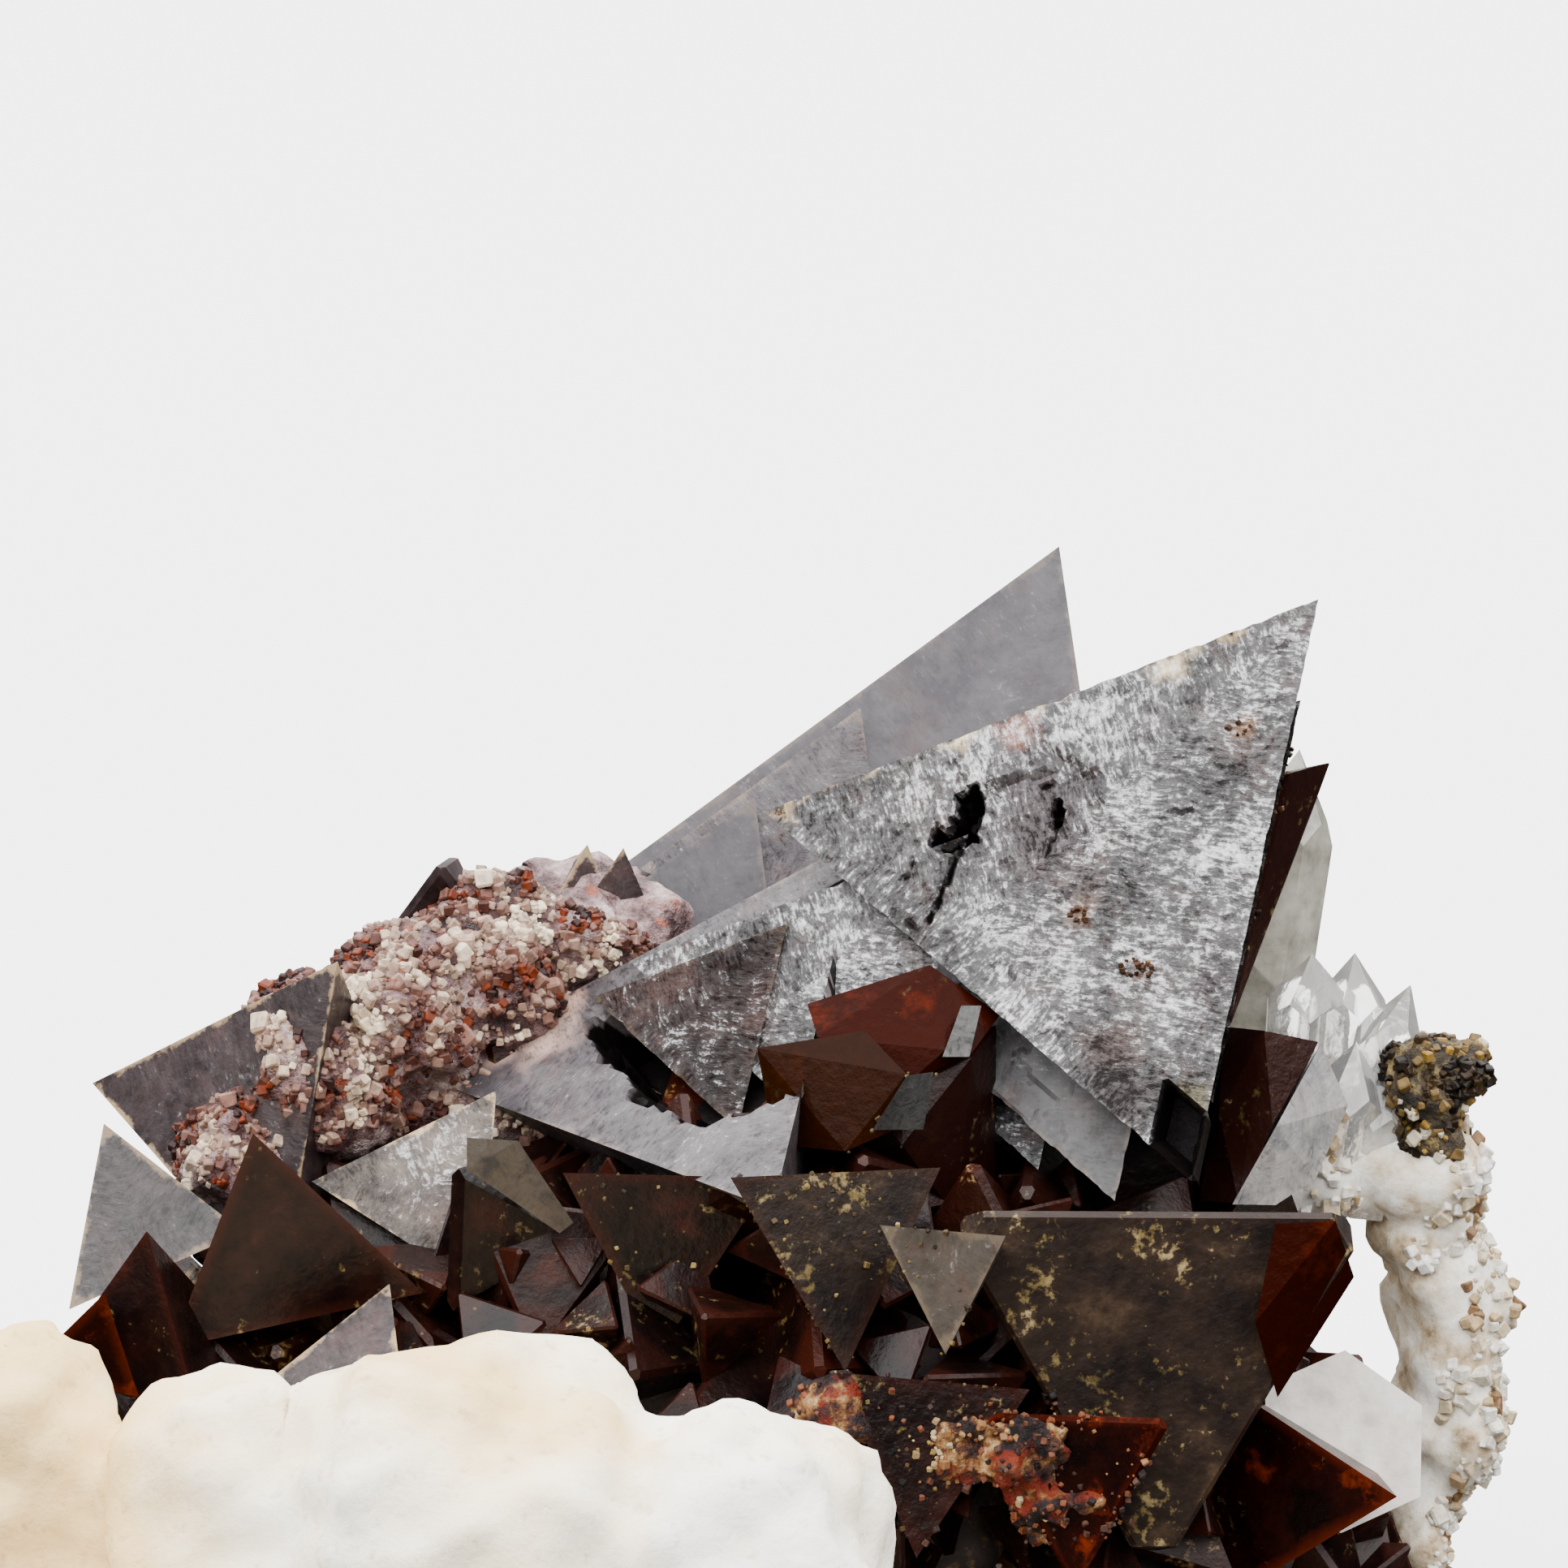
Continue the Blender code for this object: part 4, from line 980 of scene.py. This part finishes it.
pieces = [
    heap,
    grains("heap_grains", heap, 260, (0.06, 0.26), MOTTLED, 4, lambda spot, up: up.y < 0.3),
    grains("crust_on_faces", dark_blocks, 260, (0.05, 0.24), MOTTLED, 7, low_in_front),
    grains(
        "golden_specks", dark_blocks, 160, (0.05, 0.2), ("#21190c", "#3d2f16", "#5c4a26", "#7c683c"), 11,
        lambda spot, up: spot.y < 0 and up.y < 0 and -2 < spot.x < 9 and noise.noise(spot * 0.9) > 0.1,
    ),
]
bead_row = keep(bmesh.new(), "bead_row")
BEAD_STEP = (0.1, 0, 0.17)     # from one bead to the next along the edge, mm
BEADS = [(18.3, 5.6, 35.2), (18.2, 5.4, 34.7), (17.9, 5.0, 33.5), (17.5, 4.6, 32.2), (17.2, 3.8, 30.5)]
RUST_RINGS = [((1.75, 6.6), 0.3), ((4.2, -1.1), 0.27), ((4.55, -0.85), 0.16), ((1.8, -0.9), 0.2)]
RING_BEADS = 9
bead_spots = [placed(*one) + Vector(BEAD_STEP) * k * MM for one in BEADS for k in (-1, 0, 1)]
main_turn = face_turn(*MAIN)
for (x, y), radius in RUST_RINGS:
    for k in range(RING_BEADS):
        angle = math.tau * k / RING_BEADS + noise.noise(Vector((x, y, k))) * 0.6
        spot = Vector((x + math.cos(angle) * radius, y + math.sin(angle) * radius, 0))
        bead_spots.append(placed(*(Vector(MAIN_FRONT) + main_turn @ spot)))
bead_row.data.from_pydata(bead_spots, [], [])
BEAD_COLOURS = ("#1c0f07", "#3a2413", "#5c3a1f")
pieces.append(grains("beads", bead_row, len(bead_spots), (0.07, 0.2), BEAD_COLOURS, 6, lambda spot, up: True))
bpy.data.objects.remove(bead_row)
for piece in pieces:
    belongs(piece, "helvine_cluster")


# Left-hand group. Smaller helvine crystals grown onto the rock and through one another, turned every way.
# Some are grey, etched and dusted with cream crust, and the others brown and glossy.
mauve_etched = etched("etched_helvine_mauve", ("#190f10", "#34282a"), -0.6, 0.6, 0.4, 0.4)
mottled_etched = etched("etched_helvine_mottled", ("#332c29", "#5f564e"), 0.3, 0.8, 0.5, 0.8)
LEFT = [
    (-13.7, 3.4, 24.5, 10.2, -35, 17, 30, 0, 0, 0.9, 0),
    (-16.2, -0.2, 22.2, 5.7, -12, 30, -28, 0, 0, 0.5, 0),
    (-16.0, -3.8, 19.7, 5.7, -30, 9, 5, 0, 0, 0.8, 1),
    (-17.0, -5.3, 19.8, 3.4, 5, -5, 15, 0, 0, 0.3, 2),
    (-11.7, -2.3, 21.7, 7.6, 10, -14, -11, 0, 0, 1.3, 1),
    (-9.5, -3.9, 19.2, 4.5, -18, 49, 7, 0, 0, 0.9, 0),
    (-7.7, 2.0, 22.6, 6.2, -2, 32, 32, 0, 0, 1.1, 3),
]
grow("left_group", LEFT, (mauve_etched, dark_helvine, red_helvine, mottled_etched), 0.4)


# Crusted ledge. Older helvine and quartz at the upper left, grown over with a mauve-grey mineral crust that
# has cream blobs and orange spots. Three small bare crystals stand on it.
LEDGE_LUMPS = [
    ((-13.4, 5.0, 22.8), (2.4, 3.2, 2.2)),
    ((-11.2, 6.0, 24.9), (2.6, 3.4, 2.5)),
    ((-8.6, 7.2, 26.6), (2.7, 3.6, 2.6)),
    ((-6.0, 8.8, 27.8), (2.6, 3.6, 2.6)),
    ((-3.2, 11.0, 27.9), (2.8, 3.4, 2.3)),
    ((-7.5, 10.0, 21.5), (7.0, 5.0, 5.5)),
]
mauve_crust = mineral_crust(
    "mauve_mineral_crust", (0.5, 6.0, 0.7),
    [(0.36, "#1c0b0a"), (0.46, "#452626"), (0.54, "#7d6161"), (0.66, "#b9a7a2")],
    (0.6, 0.62, "#8a3a15"), (2.4, 6.0, 0.65), 3.0, 0.3, {"Roughness": 0.45, "IOR": 1.55},
)
ledge = rock(LEDGE_LUMPS, "crusted_ledge_rock", 0.22, 0.3)
belongs(ledge, "crusted_ledge", mauve_crust)

LEDGE_GRAINS = (
    "#240c09", "#66280f", "#43231c", "#5a372e", "#6e4d43", "#806356", "#907566", "#a28a78", "#bda68f",
    "#dfccb2",
)
ledge_grains = grains(
    "ledge_grains", ledge, 4200, (0.1, 0.42), LEDGE_GRAINS, 2, lambda spot, up: up.z > -0.25 and spot.y < 9,
)
blobs = grains(
    "ledge_blobs", ledge, 50, (0.3, 0.7), ("#8a6558", "#a98c7c", "#c4ad98", "#d9c7b0"), 12,
    lambda spot, up: up.y < -0.2 and up.z > -0.1 and spot.y < 8,
)
for piece in (ledge_grains, blobs):
    belongs(piece, "crusted_ledge")
LEDGE_CRYSTALS = [
    (-7.7, 8.6, 29.5, 3.7, -6, -28, 3, 0.08, 0, 1.0, 0),
    (-3.3, 10.4, 30.0, 2.2, 38, 11, 13, 0, 0, 1.0, 0),
    (-2.2, 10.4, 29.9, 2.2, 23, 10, 10, 0, 0, 1.0, 0),
]
grow("ledge_crystals", LEDGE_CRYSTALS, (mauve_etched,), 0.3)


# Quartz. A tall pale prism behind the bright group, a clear scalloped group of points beside it, and a flat
# frosted plate lower down. Colourless quartz, grown in place, cloudy inside.
# A crystal is told as its foot, tip and radius in mm, the share of its length that its point takes, and its
# turn. The plate is told as its middle, radius, thickness and the way that it looks.
PRISM = ((17.3, 9.8, 20.0), (19.3, 11.2, 34.2), 1.5, 0.2, 10)
QUARTZ_POINTS = [
    ((19.3, 8.0, 22.0), (19.5, 8.2, 28.3), 1.5, 0.3, 40),
    ((20.3, 7.6, 22.0), (20.8, 7.9, 28.4), 1.3, 0.3, 10),
    ((20.6, 7.2, 22.0), (22.5, 7.4, 27.5), 1.2, 0.4, 15),
    ((20.0, 6.6, 21.0), (20.7, 6.2, 26.0), 1.3, 0.4, 0),
    ((20.8, 6.6, 20.5), (21.8, 6.4, 25.2), 1.1, 0.4, 30),
    ((19.2, 8.8, 22.2), (17.6, 12.0, 27.6), 1.5, 0.5, 25),
]
PLATE = ((19.6, -1.8, 15.9), 2.8, 1.4, (14, 34, 12))


def quartz_point(foot, tip, radius, share, turn):
    """A six-sided prism with a six-sided point, from its foot to its tip."""
    foot, tip = placed(*foot), placed(*tip)
    wide = radius * MM
    top = (tip - foot).length
    solid = bmesh.new()
    bmesh.ops.create_cone(
        solid, cap_ends=True, segments=6, radius1=wide, radius2=wide, depth=top,
        matrix=Matrix.Translation((0, 0, top / 2)),
    )
    for side in range(6):
        angle = math.radians(60 * side)
        slope = Vector((math.sin(angle) * top * share, math.cos(angle) * top * share, wide))
        trim(solid, Vector((0, 0, top)), slope)
    lean = (tip - foot).to_track_quat("Z", "Y").to_matrix().to_4x4()
    stand = Matrix.Translation(foot) @ lean @ Matrix.Rotation(math.radians(turn), 4, "Z")
    bmesh.ops.transform(solid, matrix=stand, verts=solid.verts)
    bmesh.ops.recalc_face_normals(solid, faces=solid.faces)
    return solid


QUARTZ_IOR = 1.544


def quartz(name, milk, clear, rough):
    """Quartz: plain clear crystal, with fine growth lines across its sides and milky clouds."""
    material, tree, spot = new_material(name)
    cloud = add(tree, "TexNoise", {"Vector": spot, "Scale": 0.8, "Detail": 4.0, "Roughness": 0.6})
    colour = add(tree, "ValToRGB", {"Fac": cloud}, [(0.35, milk[0]), (0.65, milk[1])])
    lines = add(tree, "TexNoise", {"Vector": spot, "Scale": 2.0, "Detail": 4.0, "Roughness": 0.6})
    lift = add(tree, "Bump", {"Height": lines, "Strength": 0.4, "Distance": 0.1 * MM})
    shader = add(
        tree, "BsdfPrincipled",
        {"Base Color": colour, "Roughness": rough, "IOR": QUARTZ_IOR, "Transmission Weight": clear,
         "Normal": lift},
    )
    add(tree, "OutputMaterial", {"Surface": shader})
    return material


milky = quartz("milky_quartz", ("#787468", "#b5b1a5"), 0.4, 0.25)
clear = quartz("clear_quartz", ("#dddbd6", "#ffffff"), 0.85, 0.12)
frosted = quartz("frosted_quartz", ("#a3988e", "#d1c9c1"), 0.15, 0.4)
prism = keep(quartz_point(*PRISM), "milky_prism")
points_solid = bmesh.new()
for point in QUARTZ_POINTS:
    pour(quartz_point(*point), points_solid)
clear_points = keep(points_solid, "clear_points")
plate_solid = bmesh.new()
middle, radius, thickness, looks = PLATE
bmesh.ops.create_cone(
    plate_solid, cap_ends=True, segments=6, radius1=radius * 0.8, radius2=radius, depth=thickness,
    matrix=Matrix.Translation((0, 0, -thickness / 2)),
)
turn = Matrix.Translation(placed(*middle)) @ face_turn(*looks).to_4x4() @ Matrix.Scale(MM, 4)
bmesh.ops.transform(plate_solid, matrix=turn, verts=plate_solid.verts)
plate = keep(plate_solid, "frosted_plate")
belongs(prism, "quartz_prism", milky)
belongs(clear_points, "quartz_points", clear)
belongs(plate, "quartz_plate", frosted)


# Iron oxide nub. A lump of limonite, which iron minerals weather to, grown fast on top of the arch. It is
# brown and earthy, with black, ochre and pale grains caught in it.
NUB_LUMPS = [
    ((22.9, 6.6, 24.3), (1.2, 1.5, 1.1)),
    ((23.8, 6.3, 25.0), (0.9, 1.1, 0.7)),
    ((22.8, 6.4, 23.1), (0.9, 1.1, 0.9)),
]
limonite, tree, spot = new_material("earthy_limonite")
earth = add(tree, "TexNoise", {"Vector": spot, "Scale": 1.4, "Detail": 6.0, "Roughness": 0.7})
browns = add(tree, "ValToRGB", {"Fac": earth}, [(0.4, "#140d06"), (0.52, "#3a2c14"), (0.66, "#8a7648")])
lift = add(tree, "Bump", {"Height": earth, "Strength": 1.0, "Distance": 0.5 * MM})
shader = add(tree, "BsdfPrincipled", {"Base Color": browns, "Roughness": 0.7, "Normal": lift})
add(tree, "OutputMaterial", {"Surface": shader})
nub = rock(NUB_LUMPS, "limonite_nub", 0.12, 0.45)
NUB_GRAINS = ("#120b05", "#1a1108", "#2a1c0e", "#3a2b15", "#6b5530", "#8c6c2c", "#c9bda6")
nub_grains = grains("nub_grains", nub, 600, (0.1, 0.42), NUB_GRAINS, 9, lambda spot, up: True)
belongs(nub, "oxide_nub", limonite)
belongs(nub_grains, "oxide_nub")
bpy.data.objects.remove(grain)


# Studio. A large plain pale floor, a broad soft light from the upper left in front that the bright faces
# mirror, soft light all round from above, and the camera close in front, looking 12 degrees down.
FLOOR_RADIUS = 3.0
floor_solid = bmesh.new()
bmesh.ops.create_circle(floor_solid, cap_ends=True, segments=96, radius=FLOOR_RADIUS)
floor = keep(floor_solid, "floor")
paper, tree, spot = new_material("white_paper")
shader = add(tree, "BsdfPrincipled", {"Base Color": "#f4f4f4", "Roughness": 1.0})
add(tree, "OutputMaterial", {"Surface": shader})
floor.data.materials.append(paper)
floor.visible_glossy = False
floor.visible_diffuse = False
floor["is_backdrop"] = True

KEY_FROM = Vector((-0.54, -0.52, 0.66))
KEY_POWER = 1.5           # watts on a square metre
KEY_WIDTH = 40            # how broad the light looks, degrees
key = bpy.data.lights.new("key", "SUN")
key.energy = KEY_POWER
key.angle = math.radians(KEY_WIDTH)
linked("key", key).rotation_euler = KEY_FROM.to_track_quat("Z", "Y").to_euler()

SKY = 6.4                 # how bright the upper half of the room is
BACKDROP = 5.0            # how bright the room looks behind the specimen
world = bpy.data.worlds.new("studio")
bpy.context.scene.world = world
world.use_nodes = True
tree = world.node_tree
tree.nodes.clear()
toward = add(tree, "TexCoord")
height = add(tree, "SeparateXYZ", {0: toward.outputs["Generated"]})
upper = add(
    tree, "MapRange",
    {"Value": height.outputs[2], "From Min": 0.15, "From Max": 0.62, "To Min": 0.1, "To Max": SKY},
    interpolation_type="SMOOTHSTEP",
)
seen = add(tree, "LightPath")
strength = add(tree, "Mix", {"Factor": seen, "A": upper, "B": BACKDROP}, data_type="FLOAT")
room = add(tree, "Background", {"Color": "#ffffff", "Strength": strength})
add(tree, "OutputWorld", {"Surface": room})

PHOTO_CENTRE = (3.0, 4.5, 34.5)  # what the middle of the picture shows, mm
CAMERA_DISTANCE = 140.0          # mm
LOOKS_DOWN = math.radians(12)
FRAME_WIDTH = 1932 * 0.0245      # mm across the picture there: its pixels, and what one of them shows
SENSOR_WIDTH = 36                # mm
ahead = Vector((0, math.cos(LOOKS_DOWN), -math.sin(LOOKS_DOWN)))
view = bpy.data.cameras.new("camera")
view.sensor_width = SENSOR_WIDTH
view.lens = SENSOR_WIDTH / FRAME_WIDTH * CAMERA_DISTANCE
view.clip_start = 0.01
camera = linked("camera", view)
camera.location = placed(*PHOTO_CENTRE) - ahead * CAMERA_DISTANCE * MM
camera.rotation_euler = (math.pi / 2 - LOOKS_DOWN, 0, 0)
bpy.context.scene.camera = camera

[[list(corner) for corner in box] for box in (cad_box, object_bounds())]
